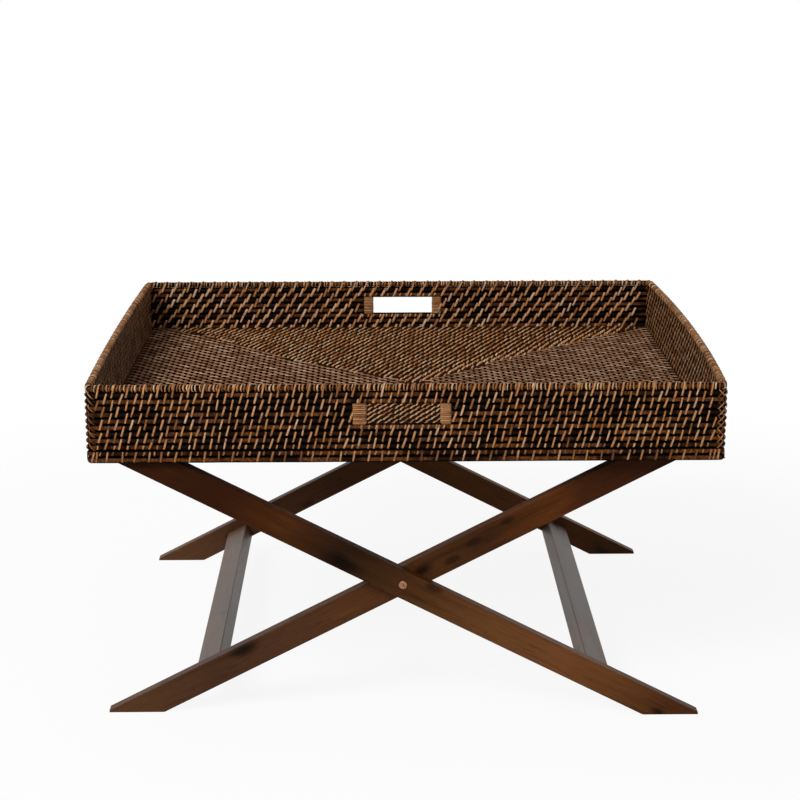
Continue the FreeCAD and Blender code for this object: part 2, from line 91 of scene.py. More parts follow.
class Bench:
    """Adds nodes to a tree and joins them. A number or a colour is a plain value or an output."""

    def __init__(self, tree: bpy.types.NodeTree) -> None:
        """Keep the tree that the nodes go into."""
        self.tree = tree

    def add(self, kind: str, inputs: Optional[dict] = None, **settings: object) -> bpy.types.Node:
        """Add one node.

        Args:
            kind: The node's type name.
            inputs: Socket name or index, with a value or another node's output.
            settings: The node's own properties.

        Returns:
            The new node.
        """
        node = self.tree.nodes.new(kind)
        for name, value in settings.items():
            setattr(node, name, value)
        for key, value in (inputs or {}).items():
            socket = node.inputs[key]
            if isinstance(value, Socket):
                self.tree.links.new(value, socket)
            elif isinstance(value, tuple) and len(value) == 3 and socket.type == "RGBA":
                socket.default_value = (*value, 1.0)
            else:
                socket.default_value = value
        return node

    def out(self, kind: str, inputs: Optional[dict] = None, **settings: object) -> Socket:
        """Add one node and hand back its first output."""
        return self.add(kind, inputs, **settings).outputs[0]

    def math(self, operation: str, a: object, b: object = 0.0) -> Socket:
        """Work out one sum on two numbers."""
        return self.out("ShaderNodeMath", {0: a, 1: b}, operation=operation)

    def times(self, a: object, b: object) -> Socket:
        """Multiply two numbers."""
        return self.math("MULTIPLY", a, b)

    def minus(self, a: object, b: object) -> Socket:
        """Take the second number from the first."""
        return self.math("SUBTRACT", a, b)

    def vector(self, operation: str, a: object, b: object) -> Socket:
        """Work out one sum on two places, or on a place and its scale."""
        second = 3 if operation == "SCALE" else 1
        return self.out("ShaderNodeVectorMath", {0: a, second: b}, operation=operation)

    def place(self, x: object, y: object, z: object) -> Socket:
        """Join three numbers into a place."""
        return self.out("ShaderNodeCombineXYZ", {0: x, 1: y, 2: z})

    def split(self, at: Socket) -> tuple[Socket, ...]:
        """Split a place into its three numbers."""
        return tuple(self.add("ShaderNodeSeparateXYZ", {0: at}).outputs)

    def own_place(self) -> Socket:
        """Read a point's place in its object's own space, in a material."""
        return self.add("ShaderNodeTexCoord").outputs["Object"]

    def attribute(self, name: str) -> Socket:
        """Read a piece's own number in a material."""
        return self.add("ShaderNodeAttribute", attribute_name=name).outputs["Fac"]

    def spread(self, value: Socket, low: float, high: float, to_low: float = 0.0,
               to_high: float = 1.0) -> Socket:
        """Stretch a number softly from the range low to high to the range to_low to to_high."""
        ends = {0: value, 1: low, 2: high, 3: to_low, 4: to_high}
        return self.out("ShaderNodeMapRange", ends, interpolation_type="SMOOTHSTEP")

    def noise(self, at: Socket, scale: float, detail: float, roughness: float) -> Socket:
        """Read smooth noise at a place, with its scale, its finer layers and their strength."""
        inputs = {"Vector": at, "Scale": scale, "Detail": detail, "Roughness": roughness}
        return self.out("ShaderNodeTexNoise", inputs)

    def mix(self, share: object, first: object, second: object) -> Socket:
        """Mix two colours, with a share of the second from 0 to 1."""
        return self.add("ShaderNodeMix", {0: share, 6: first, 7: second}, data_type="RGBA").outputs[2]

    def ramp(self, value: Socket, marks: Stops) -> Socket:
        """Turn a number into a colour.

        Args:
            value: The number, from 0 to 1.
            marks: Places and their colours.

        Returns:
            The colour's output.
        """
        node = self.add("ShaderNodeValToRGB", {0: value})
        band = node.color_ramp
        while len(band.elements) < len(marks):
            band.elements.new(0.5)
        for element, (place, colour) in zip(band.elements, marks):
            element.position = place
            element.color = (*colour, 1.0)
        return node.outputs[0]

    def chance(self, seed: Socket, extra: int, low: object, high: object) -> Socket:
        """Draw a number for each point of a geometry; extra keeps the draws of one seed apart."""
        drawn = {2: low, 3: high, 8: self.math("ADD", seed, float(extra))}
        return self.add("FunctionNodeRandomValue", drawn).outputs[1]


# Finishes


def new_material(name: str) -> tuple[Material, Bench]:
    """Start an empty material.

    Args:
        name: The material's name.

    Returns:
        The material and the bench for its nodes.
    """
    material = bpy.data.materials.new(name)
    material.use_nodes = True
    material.node_tree.nodes.clear()
    return material, Bench(material.node_tree)


def close_material(bench: Bench, colour: object, roughness: object, bump: Socket, lift: float,
                   **constants: float) -> None:
    """End a material with its bump, its shader and its output.

    Args:
        bench: The material's bench.
        colour: Its colour.
        roughness: Its roughness.
        bump: Height of the surface.
        lift: How far the bump stands up, in metres.
        constants: Other sockets of the shader, with their plain values.
    """
    normal = bench.out("ShaderNodeBump", {"Height": bump, "Strength": 1.0, "Distance": lift})
    inputs = {"Base Color": colour, "Roughness": roughness, "Normal": normal}
    inputs.update({name.replace("_", " "): value for name, value in constants.items()})
    bench.add("ShaderNodeOutputMaterial", {0: bench.out("ShaderNodeBsdfPrincipled", inputs)})


@dataclass(frozen=True)
class RodFinish:
    """Dark stained round rattan, worn brown in patches along each rod, with painted shade in the gaps.

    A noise is given by its scale, its finer layers and their strength, and a range by where a share
    starts and ends, with the shares themselves where they aren't 0 and 1. The edges are shares of a row.
    """

    name: str
    base: float
    pitch: float
    dark: Colour = shade("1b110a")
    # Painted shade: the colour towards the gaps between rods, at the top and bottom of each row.
    deep: Colour = shade("030202")
    brown: Colour = shade("7d4c28")
    worn: float = 0.46
    worn_fade: float = 0.13
    gloss: float = 0.01
    patch_scale: float = 16.0
    patch_row_shift: float = 7.3
    patch_noise: Triple = (1.0, 3.0, 0.62)
    mottle_noise: Triple = (330.0, 3.0, 0.7)
    mottle_range: Range = (0.4, 0.56, 0.25, 1.0)
    worn_edges: tuple[Range, Range] = ((0.18, 0.36), (0.9, 0.7))
    # Where a row fades into the painted gap shade, at its bottom and at its top.
    body_edges: tuple[Range, Range] = ((0.16, 0.36), (0.86, 0.68))
    streak_scale: Triple = (60.0, 60.0, 1500.0)
    streak_noise: Triple = (1.0, 4.0, 0.6)
    streak_range: Range = (0.3, 0.62)
    roughness_range: Range = (0.2, 0.8, 0.4, 0.6)
    lift: float = 0.0003

    def build(self) -> Material:
        """Build the material; the row of a rod and its painted gap shade come from its height.

        Returns:
            The material.
        """
        material, bench = new_material(self.name)
        at = bench.own_place()
        x, y, z = bench.split(at)
        level = bench.math("DIVIDE", bench.minus(z, self.base), self.pitch)
        row = bench.math("FLOOR", level)
        height = bench.minus(level, row)
        patch_at = bench.place(bench.times(x, self.patch_scale), bench.times(y, self.patch_scale),
                               bench.times(row, self.patch_row_shift))
        cloud = bench.noise(patch_at, *self.patch_noise)
        patches = bench.spread(cloud, self.worn, self.worn + self.worn_fade)
        mottle = bench.spread(bench.noise(at, *self.mottle_noise), *self.mottle_range)
        # top keeps the worn patches to a row's middle; body is the share left without painted gap shade.
        top, body = (bench.times(bench.spread(height, *low), bench.spread(height, *high))
                     for low, high in (self.worn_edges, self.body_edges))
        streaks = bench.noise(bench.vector("MULTIPLY", at, self.streak_scale), *self.streak_noise)
        share = bench.times(bench.times(bench.times(patches, mottle), top),
                            bench.spread(streaks, *self.streak_range))
        # Painted shade: each rod darkens towards the gaps between rows, on the floor down into the valleys.
        colour = bench.mix(share, bench.mix(body, self.deep, self.dark), self.brown)
        close_material(bench, colour, bench.spread(streaks, *self.roughness_range), streaks, self.lift,
                       Specular_IOR_Level=self.gloss)
        return material


@dataclass(frozen=True)
class StrandFinish:
    """Split rattan strand: tan peel with long fibres, darker at its edges, each its own tone, with painted
    shade in gaps.
    """

    name: str
    tones: Stops
    roughness: float = 0.46
    edge: float = 0.85
    gloss: float = 0.12
    # How much painted shade the strand takes where it dips between rods.
    tucked: float = 0.96
    fibre_colour: Colour = shade("5a3820")
    stain_colour: Colour = shade("4c2e19")
    edge_colour: Colour = shade("3a2110")
    # Colour of the painted shade where the strand dips between rods.
    deep_colour: Colour = shade("0a0603")
    fibre_scale: Triple = (260.0, 7.0, 91.0)
    fibre_noise: Triple = (1.0, 3.0, 0.65)
    fibre_range: Range = (0.36, 0.66, 0.55, 0.0)
    stain_scale: Triple = (90.0, 0.0, 57.0)
    stain_noise: Triple = (1.0, 2.0, 0.5)
    stain_range: Range = (0.52, 0.74, 0.0, 0.7)
    edge_start: float = 0.16
    lift: float = 0.00025

    def build(self) -> Material:
        """Build the material from the strand's own numbers: along, across, tone and tuck, its share of
        painted shade.

        Returns:
            The material.
        """
        material, bench = new_material(self.name)
        along, across, tone, tuck = (bench.attribute(name) for name in ("along", "across", "tone", "tuck"))
        at = bench.place(along, across, tone)
        fibres = bench.noise(bench.vector("MULTIPLY", at, self.fibre_scale), *self.fibre_noise)
        stain = bench.noise(bench.vector("MULTIPLY", at, self.stain_scale), *self.stain_noise)
        colour = bench.mix(bench.spread(fibres, *self.fibre_range), bench.ramp(tone, self.tones),
                           self.fibre_colour)
        colour = bench.mix(bench.spread(stain, *self.stain_range), colour, self.stain_colour)
        rim = bench.spread(bench.math("ABSOLUTE", across), self.edge_start, 0.5, 0.0, self.edge)
        colour = bench.mix(rim, colour, self.edge_colour)
        # Painted shade where the strand dips into the gaps between rods, by its tuck.
        colour = bench.mix(bench.times(tuck, self.tucked), colour, self.deep_colour)
        close_material(bench, colour, self.roughness, fibres, self.lift, Specular_IOR_Level=self.gloss)
        return material


@dataclass(frozen=True)
class WoodFinish:
    """Dark stained wood with its grain along the piece, specks, knots and tones along its length.

    A knot is given by its place along and across the piece and its length, and the tones by places
    along the piece, within its span.
    """

    name: str
    turn: float = 0.0
    along_y: bool = False
    dark: Colour = shade("1f1008")
    middle: Colour = shade("3e2210")
    warm: Colour = shade("65401f")
    tones: Stops = ()
    knots: tuple[Triple, ...] = ()
    roughness: float = 0.38
    gloss: float = 0.08
    span: tuple[float, float] = (-0.52, 0.38)
    speck_colour: Colour = shade("180d07")
    knot_colour: Colour = shade("120a05")
    grain_scale: Triple = (3.2, 45.0, 45.0)
    grain_noise: Triple = (1.0, 6.0, 0.62)
    grain_range: Range = (0.32, 0.6)
    fine_scale: Triple = (22.0, 620.0, 620.0)
    fine_noise: Triple = (1.0, 3.0, 0.6)
    fine_range: Range = (0.5, 0.75, 0.0, 0.5)
    broad_noise: Triple = (6.0, 2.0, 0.5)
    warm_ranges: tuple[Range, Range] = ((0.46, 0.66), (0.4, 0.66))
    speck_scale: Triple = (11.0, 20.0, 26.0)
    speck_range: Range = (0.08, 0.2, 0.6, 0.0)
    tone_drift: float = 0.16
    tone_grain_range: Range = (0.25, 0.48, 0.5, 0.0)
    tone_warm_ranges: tuple[Range, Range] = ((0.5, 0.7), (0.5, 0.7))
    knot_height_share: float = 0.42
    knot_wander: float = 2.2
    knot_range: Range = (0.2, 1.3, 0.85, 0.0)
    roughness_range: Range = (0.2, 0.8)
    dullness: float = 0.14
    lift: float = 0.0004

    def build(self) -> Material:
        """Build the material; the mapping turns the grain along the piece.

        Returns:
            The material.
        """
        material, bench = new_material(self.name)
        angle = (0.0, 0.0, -math.pi / 2) if self.along_y else (0.0, self.turn, 0.0)
        turned = bench.out("ShaderNodeMapping", {"Vector": bench.own_place(), "Rotation": angle})
        x, _, z = bench.split(turned)
        grain = bench.noise(bench.vector("MULTIPLY", turned, self.grain_scale), *self.grain_noise)
        fine = bench.noise(bench.vector("MULTIPLY", turned, self.fine_scale), *self.fine_noise)
        broad = bench.noise(turned, *self.broad_noise)
        cells = {"Vector": bench.vector("MULTIPLY", turned, self.speck_scale), "Scale": 1.0}
        specks = bench.add("ShaderNodeTexVoronoi", cells, feature="F1").outputs["Distance"]
        if self.tones:
            tone = self.tone(bench, x, grain)
            colour = bench.mix(bench.spread(grain, *self.tone_grain_range), tone, self.dark)
        else:
            colour = bench.mix(bench.spread(grain, *self.grain_range), self.dark, self.middle)
        broad_range, grain_range = self.tone_warm_ranges if self.tones else self.warm_ranges
        warmth = bench.times(bench.spread(broad, *broad_range), bench.spread(grain, *grain_range))
        colour = bench.mix(warmth, colour, self.warm)
        colour = bench.mix(bench.spread(fine, *self.fine_range), colour, self.dark)
        colour = bench.mix(bench.spread(specks, *self.speck_range), colour, self.speck_colour)
        for knot in self.knots:
            colour = bench.mix(self.knot_share(bench, knot, x, z, grain), colour, self.knot_colour)
        height = bench.math("ADD", bench.times(grain, 0.5), bench.times(fine, 0.5))
        roughness = bench.spread(grain, *self.roughness_range, self.roughness, self.roughness + self.dullness)
        close_material(bench, colour, roughness, height, self.lift, Specular_IOR_Level=self.gloss)
        return material

    def tone(self, bench: Bench, x: Socket, grain: Socket) -> Socket:
        """Read the wood's tone along the piece, with edges that the grain frays.

        Args:
            bench: The material's bench.
            x: Place along the piece.
            grain: The grain's number.

        Returns:
            The tone's colour.
        """
        low, high = self.span
        drift = bench.times(bench.minus(grain, 0.5), self.tone_drift)
        share = bench.math("ADD", bench.math("DIVIDE", bench.minus(x, low), high - low), drift)
        return bench.ramp(share, tuple(((place - low) / (high - low), tone) for place, tone in self.tones))

    def knot_share(self, bench: Bench, knot: Triple, x: Socket, z: Socket, grain: Socket) -> Socket:
        """Find how much of a knot shows at a place.

        Args:
            bench: The material's bench.
            knot: Its place along and across the piece, and its length.
            x: Place along the piece.
            z: Place across it.
            grain: The grain's number, which frays the knot.

        Returns:
            The share, from 0 to 1.
        """
        along, across, size = knot
        reach = bench.math("DIVIDE", bench.minus(x, along), size)
        rise = bench.math("DIVIDE", bench.minus(z, across), self.knot_height_share * size)
        away = bench.math("SQRT", bench.math("ADD", bench.times(reach, reach), bench.times(rise, rise)))
        away = bench.math("ADD", away, bench.times(bench.minus(grain, 0.5), self.knot_wander))
        return bench.spread(away, *self.knot_range)


@dataclass(frozen=True)
class MetalFinish:
    """Satin metal with fine turned marks and a little tarnish."""

    name: str
    colour: Colour
    tarnish: Colour
    metallic: float = 0.9
    roughness: float = 0.34
    polish: float = 0.06
    dullness: float = 0.12
    mark_noise: Triple = (900.0, 3.0, 0.6)
    mark_range: Range = (0.3, 0.7)
    spot_noise: Triple = (260.0, 3.0, 0.5)
    spot_range: Range = (0.42, 0.68, 0.0, 0.8)
    lift: float = 0.00006

    def build(self) -> Material:
        """Build the material from fine marks and soft tarnish.

        Returns:
            The material.
        """
        material, bench = new_material(self.name)
        at = bench.own_place()
        marks, spots = bench.noise(at, *self.mark_noise), bench.noise(at, *self.spot_noise)
        colour = bench.mix(bench.spread(spots, *self.spot_range), self.colour, self.tarnish)
        roughness = bench.spread(marks, *self.mark_range, self.roughness - self.polish,
                                 self.roughness + self.dullness)
        close_material(bench, colour, roughness, marks, self.lift, Metallic=self.metallic)
        return material


# The tray's plan


class Side(Enum):
    """A side of the tray: the turn from the front, counter-clockwise, in quarter turns."""

    FRONT = 0
    RIGHT = 1
    BACK = 2
    LEFT = 3

    @property
    def label(self) -> str:
        """Name of the side in the model."""
        return self.name.lower()

    @property
    def is_long(self) -> bool:
        """Whether this is one of the two long sides, which have the hand slots."""
        return self in (Side.FRONT, Side.BACK)

    @property
    def along(self) -> Vector:
        """Direction in which the side is followed."""
        return Vector(((1, 0, 0), (0, 1, 0), (-1, 0, 0), (0, -1, 0))[self.value])

    @property
    def inward(self) -> Vector:
        """Direction into the tray."""
        return Vector((0, 0, 1)).cross(self.along)

    @property
    def before(self) -> "Side":
        """The side that ends where this one starts."""
        return Side((self.value + 3) % 4)

    @property
    def after(self) -> "Side":
        """The side that starts where this one ends."""
        return Side((self.value + 1) % 4)


def bend(a: Vector, b: Vector, c: Vector, share: float) -> Vector:
    """Find the place at a share of the smooth bend from a to c that cuts the corner b."""
    return a * (1 - share) ** 2 + b * 2 * share * (1 - share) + c * share ** 2


@dataclass(frozen=True)
class TrayPlan:
    """Sizes of the tray and the lines that its rods and strands follow."""

    centre: float = -0.0040
    half_length: float = 0.4507
    half_width: float = 0.400
    base: float = 0.3892
    pitch: float = 0.0094
    rod_depth: float = 0.00505
    rod_radius: float = 0.00482
    rows: int = 12
    band_rows: int = 2
    slot_rows: tuple[int, int] = (6, 8)
    slot_half: float = 0.052
    front_posts: tuple[float, float] = (0.0203, 0.0156)
    back_posts: tuple[float, float] = (0.0170, 0.0170)
    front_slot_shift: float = -0.004
    back_slot_shift: float = 0.0055
    corner: float = 0.0032
    straight_runs: int = 40
    left_bow: float = 0.005
    right_bow: float = 0.012
    floor_base: float = 0.4168
    floor_edge: float = 0.0091
    floor_rings: int = 41
    floor_radius: float = 0.0046
    floor_rise: float = 0.0037
    floor_lift: float = 0.0003

    @property
    def floor_pitch(self) -> float:
        """Distance between two rods that a strand of the floor spans."""
        return (self.half_width - self.floor_edge) / self.floor_rings

    def height(self, row: float) -> float:
        """Height of a row's centre line."""
        return self.base + (row + 0.5) * self.pitch

    def slot_middle(self, side: Side) -> float:
        """Where the middle of a side's hand slot is, along X."""
        return self.centre + (self.front_slot_shift if side is Side.FRONT else self.back_slot_shift)

    def post_width(self, side: Side, end: float) -> float:
        """Width of the post on the left (-1) or the right (1) of a side's hand slot."""
        return (self.front_posts if side is Side.FRONT else self.back_posts)[0 if end < 0 else 1]

    def bow(self, side: Side, row: float) -> float:
        """Find how far a row bows out at the middle of a side.

        Args:
            side: The side.
            row: The row; those of the base band are straight.

        Returns:
            The bow.
        """
        if row < self.band_rows:
            return 0.0
        share = (row + 1 - self.band_rows) / (self.rows - self.band_rows)
        return share * {Side.LEFT: self.left_bow, Side.RIGHT: self.right_bow}.get(side, 0.0)

    def length(self, side: Side, inset: float) -> float:
        """Length of a side's line from corner to corner."""
        return 2 * ((self.half_length if side.is_long else self.half_width) - inset)

    def rod_length(self, side: Side) -> float:
        """Length of the line of a side's rods, from corner to corner."""
        return self.length(side, self.rod_depth)

    def point(self, side: Side, inset: float, bow: float, z: float, run: float) -> Vector:
        """Find a place on a side's line.

        Args:
            side: The side.
            inset: How far the line lies inside the tray's edge.
            bow: How far it bows out at its middle.
            z: Its height.
            run: Distance from the side's first corner.

        Returns:
            The place.
        """
        length = self.length(side, inset)
        share = run / length
        out = self.length(side.before, inset) / 2 + bow * 4 * share * (1 - share)
        return Vector((self.centre, 0, z)) - side.inward * out + side.along * (run - length / 2)

    def rod_point(self, side: Side, row: float, run: float) -> Vector:
        """Find the place on a row's rod at a distance from the side's first corner."""
        return self.point(side, self.rod_depth, self.bow(side, row), self.height(row), run)

    def rod_line(self, side: Side, row: float) -> Line:
        """Follow a row's rod from the middle of one rounded corner to the middle of the next.

        Args:
            side: The side.
            row: The row.

        Returns:
            The rod's centre line.
        """
        length, corner, z = self.rod_length(side), self.corner, self.height(row)
        reach = self.bow(Side.RIGHT, row) if side.is_long else 0.0
        into = self.point(side.before, self.rod_depth, reach, z, self.rod_length(side.before) - corner)
        out = self.point(side.after, self.rod_depth, reach, z, corner)
        start, first, last, finish = (self.rod_point(side, row, run)
                                      for run in (0.0, corner, length - corner, length))
        straight = (length - 2 * corner) / self.straight_runs
        points = [bend(into, start, first, 0.5 + 0.1 * i) for i in range(5)]
        points += [self.rod_point(side, row, corner + straight * i) for i in range(self.straight_runs + 1)]
        points += [bend(last, finish, out, 0.1 + 0.1 * i) for i in range(5)]
        return points


@dataclass
class Rail:
    """A line that strands are laced along, with the way they face and lean at each point."""

    points: Line
    headings: list[Vector]
    leans: list[float]


def straight_rail(points: Line, heading: Vector) -> Rail:
    """Make a rail whose strands all face one way and stand upright."""
    return Rail(points, [heading] * len(points), [0.0] * len(points))


# Meshes that the trees repeat


def mesh_object(name: str, vertices: Sequence[Vector], edges: Sequence[tuple],
                faces: Sequence[tuple]) -> Thing:
    """Make an object from bare mesh data.

    Args:
        name: The object's name.
        vertices: Its points.
        edges: Its loose edges.
        faces: Its faces.

    Returns:
        The object, in the scene.
    """
    mesh = bpy.data.meshes.new(name)
    mesh.from_pydata([tuple(v) for v in vertices], edges, faces)
    thing = bpy.data.objects.new(name, mesh)
    bpy.context.scene.collection.objects.link(thing)
    return thing


def section(name: str, points: Sequence[tuple[float, float]]) -> Thing:
    """Make a rod's section, a closed line through its corners in order."""
    edges = [(i, (i + 1) % len(points)) for i in range(len(points))]
    return mesh_object(name, [Vector((x, y, 0)) for x, y in points], edges, [])


def round_section(name: str, radius: float, sides: int) -> Thing:
    """Make a round rod's section."""
    angles = [2 * math.pi * i / sides for i in range(sides)]
    return section(name, [(radius * math.cos(a), radius * math.sin(a)) for a in angles])


def face_outwards(mesh: bpy.types.Mesh) -> None:
    """Turn a closed mesh's faces outwards."""
    work = bmesh.new()
    work.from_mesh(mesh)
    bmesh.ops.recalc_face_normals(work, faces=work.faces)
    work.to_mesh(mesh)
    work.free()


# A strand's crowned section, in shares of its width and thickness.
CROWN_SHARES = ((-0.5, -0.35), (-0.34, 0.32), (0.0, 0.5), (0.34, 0.32), (0.5, -0.35))


def ribbon(name: str, path: Sequence[tuple[Vector, Vector]], width: float, thickness: float,
           closed: bool = False, tucks: Sequence[float] = (), scales: Sequence[float] = ()) -> Thing:
    """Make one strand with a crowned section.

    Args:
        name: The strand's name.
        path: Its points, each with the direction away from what it lies on.
        width: Its width.
        thickness: Its thickness.
        closed: Whether its end joins its start.
        tucks: How far down between the rods each point lies, as its share of painted shade, from 0 to 1.
        scales: How much wider than its width the strand is at each point.

    Returns:
        The strand, with its numbers along, across and tuck, the last its share of painted shade.
    """
    size, count = len(CROWN_SHARES), len(path)
    vertices: Line = []
    along: list[float] = []
    run = 0.0
    for i, (place, out) in enumerate(path):
        ahead = path[(i + 1) % count][0] if closed or i < count - 1 else place
        behind = path[i - 1][0] if closed or i > 0 else place
        run += (place - path[i - 1][0]).length if i else 0.0
        tangent = (ahead - behind).normalized()
        sideways = tangent.cross(out).normalized()
        up = sideways.cross(tangent).normalized()
        wide = width * (scales[i] if scales else 1.0)
        vertices += [place + sideways * (a * wide) + up * (b * thickness) for a, b in CROWN_SHARES]
        along += [run] * size
    faces: list[tuple] = []
    for i in range(count if closed else count - 1):
        j = (i + 1) % count
        faces += [(i * size + k, i * size + (k + 1) % size, j * size + (k + 1) % size, j * size + k)
                  for k in range(size)]
    if not closed:
        faces += [tuple(range(size)), tuple((count - 1) * size + k for k in range(size))]
    strand = mesh_object(name, vertices, [], faces)
    face_outwards(strand.data)
    across = [a for a, _ in CROWN_SHARES] * count
    # Share of painted shade at each point, where the strand dips between rods.
    tuck = [depth for depth in (tucks or [0.0] * count) for _ in CROWN_SHARES]
    for label, values in (("along", along), ("across", across), ("tuck", tuck)):
        strand.data.attributes.new(label, "FLOAT", "POINT").data.foreach_set("value", values)
    return strand


@dataclass(frozen=True)
class Stitch:
    """A strand wound once round one or more rods of a wall, outer face first.

    The angles are measured from straight down round the lower rod, and mirrored for the upper one.
    At each the strand lies so far down in the gap between rods, and takes so much painted shade there.
    """

    rods: int = 2
    outer_step: float = 0.0064
    inner_step: float = 0.0102
    width: float = 0.0034
    thickness: float = 0.0009
    inner_scale: float = 1.0
    over_rim: bool = False
    seat_share: float = 0.15
    rim_lift: float = 0.0008
    angles: Range = (20.0, 46.0, 60.0, 88.0)
    depths: Range = (0.0024, 0.0009, 0.0, 0.0)
    # Shares of painted shade at the angles above, most where the strand is down in the gap.
    tuck_shares: Range = (1.0, 0.9, 0.12, 0.0)
    rim_angles: Range = (92.0, 122.0, 152.0, 181.0)

    def build(self, name: str, plan: TrayPlan) -> Thing:
        """Wind the strand.

        Args:
            name: Its name.
            plan: The tray's sizes.

        Returns:
            The strand, its own origin on the lower rod's centre line.
        """
        radius = plan.rod_radius + self.seat_share * self.thickness
        radius += self.rim_lift if self.over_rim else 0.0
        lift = (self.rods - 1) * plan.pitch
        lower = [(a, 0.0, depth) for a, depth in zip(self.angles, self.depths)]
        upper = [(180.0 - a, lift, depth) for a, _, depth in lower]
        top = [(a, lift, 0.0) for a in self.rim_angles] if self.over_rim else upper[::-1]
        path = self.walk(lower + top, radius, -1.0, -self.outer_step / 2, self.outer_step / 2)
        path += self.walk(upper + lower[::-1], radius, 1.0, self.outer_step / 2,
                          self.outer_step / 2 + self.inner_step)
        # Painted shade where each face's strand goes into the gaps, none where it lies over the rim.
        dark, count = list(self.tuck_shares), len(lower)
        tucks = dark + ([0.0] * count if self.over_rim else dark[::-1]) + dark + dark[::-1]
        scales = [1.0] * 2 * count + [self.inner_scale] * 2 * count
        return ribbon(name, path, self.width, self.thickness, tucks=tucks, scales=scales)

    @staticmethod
    def walk(stations: Sequence[Triple], radius: float, side: float, start: float,
             finish: float) -> list[tuple[Vector, Vector]]:
        """Walk round the rods on one face.

        Args:
            stations: Angle from straight down, height of the rod's centre, and depth in the gap.
            radius: Distance from the rod's centre.
            side: -1 on the outer face, 1 on the inner.
            start: Place along the wall where it starts.
            finish: Place along the wall where it ends.

        Returns:
            Points with their outward directions.
        """
        turns = [math.radians(angle) for angle, _, _ in stations]
        outs = [Vector((0, side * math.sin(turn), -math.cos(turn))) for turn in turns]
        flat = [out * (radius - depth) + Vector((0, 0, height))
                for out, (_, height, depth) in zip(outs, stations)]
        runs = [0.0]
        for before, after in zip(flat, flat[1:]):
            runs.append(runs[-1] + (after - before).length)
        return [(place + Vector((start + (finish - start) * run / runs[-1], 0, 0)), out)
                for place, out, run in zip(flat, outs, runs)]


@dataclass(frozen=True)
class FloorStitch:
    """A strand laid over two neighbouring rods of the floor, down to the dip angle on each."""

    width: float
    thickness: float
    step: float = 0.0076
    dip: float = 72.0
    sunk_share: float = 1.0
    seat_share: float = 0.25
    # Shares of painted shade from the rod's top down to the strand's end, where it dips between the floor's
    # rods.
    tuck_shares: Range = (0.0, 0.0, 0.25, 0.8)

    def build(self, name: str, plan: TrayPlan) -> Thing:
        """Lay the strand over its rods.

        Args:
            name: Its name.
            plan: The tray's sizes.

        Returns:
            The strand, its own origin midway across the rods, on the floor's base.
        """
        radius = plan.floor_radius + self.seat_share * self.thickness
        rise = plan.floor_rise + self.seat_share * self.thickness
        half = plan.floor_pitch / 2
        count = len(self.tuck_shares)
        dips = [self.dip * i / (count - 1) for i in range(count)]
        path = []
        for angle, centre in [(-dip, -half) for dip in reversed(dips)] + [(dip, half) for dip in dips]:
            across, up = math.sin(math.radians(angle)), math.cos(math.radians(angle))
            share = self.sunk_share if abs(angle) == self.dip else 1.0
            place = Vector((0, centre + across * radius, plan.floor_lift + up * rise * share))
            place.x = self.step / 2 * place.y / (half + radius)
            path.append((place, Vector((0, across / radius, up / rise)).normalized()))
        # Painted shade towards both ends, which dip between the floor's rods.
        tucks = [*reversed(self.tuck_shares), *self.tuck_shares]
        return ribbon(name, path, self.width, self.thickness, tucks=tucks)


# Geometry trees


# Real cane's sway and swell: the noise's scale, and how much faster it changes from row to row.
CANE_SCALE = 22.0
CANE_STRETCH = (1.0, 1.0, 19.0)


def new_tree(name: str, sockets: dict[str, str]) -> tuple[bpy.types.NodeTree, Bench, bpy.types.Node]:
    """Start a geometry tree with named inputs.

    Args:
        name: The tree's name.
        sockets: Names and kinds of its inputs, after the geometry.

    Returns:
        The tree, its bench and its input node.
    """
    tree = bpy.data.node_groups.new(name, "GeometryNodeTree")
    for label, kind in {"Geometry": "Geometry", **sockets}.items():
        tree.interface.new_socket(label, in_out="INPUT", socket_type="NodeSocket" + kind)
    tree.interface.new_socket("Geometry", in_out="OUTPUT", socket_type="NodeSocketGeometry")
    bench = Bench(tree)
    return tree, bench, bench.add("NodeGroupInput")


def end_tree(bench: Bench, mesh: Socket, material: Socket) -> None:
    """End a geometry tree with plain, smooth, dressed mesh.

    Args:
        bench: The tree's bench.
        mesh: The geometry so far.
        material: The material's input.
    """
    real = bench.out("GeometryNodeRealizeInstances", {0: mesh})
    smooth = bench.out("GeometryNodeSetShadeSmooth", {0: real})
    bench.add("NodeGroupOutput", {0: bench.out("GeometryNodeSetMaterial", {0: smooth, 2: material})})


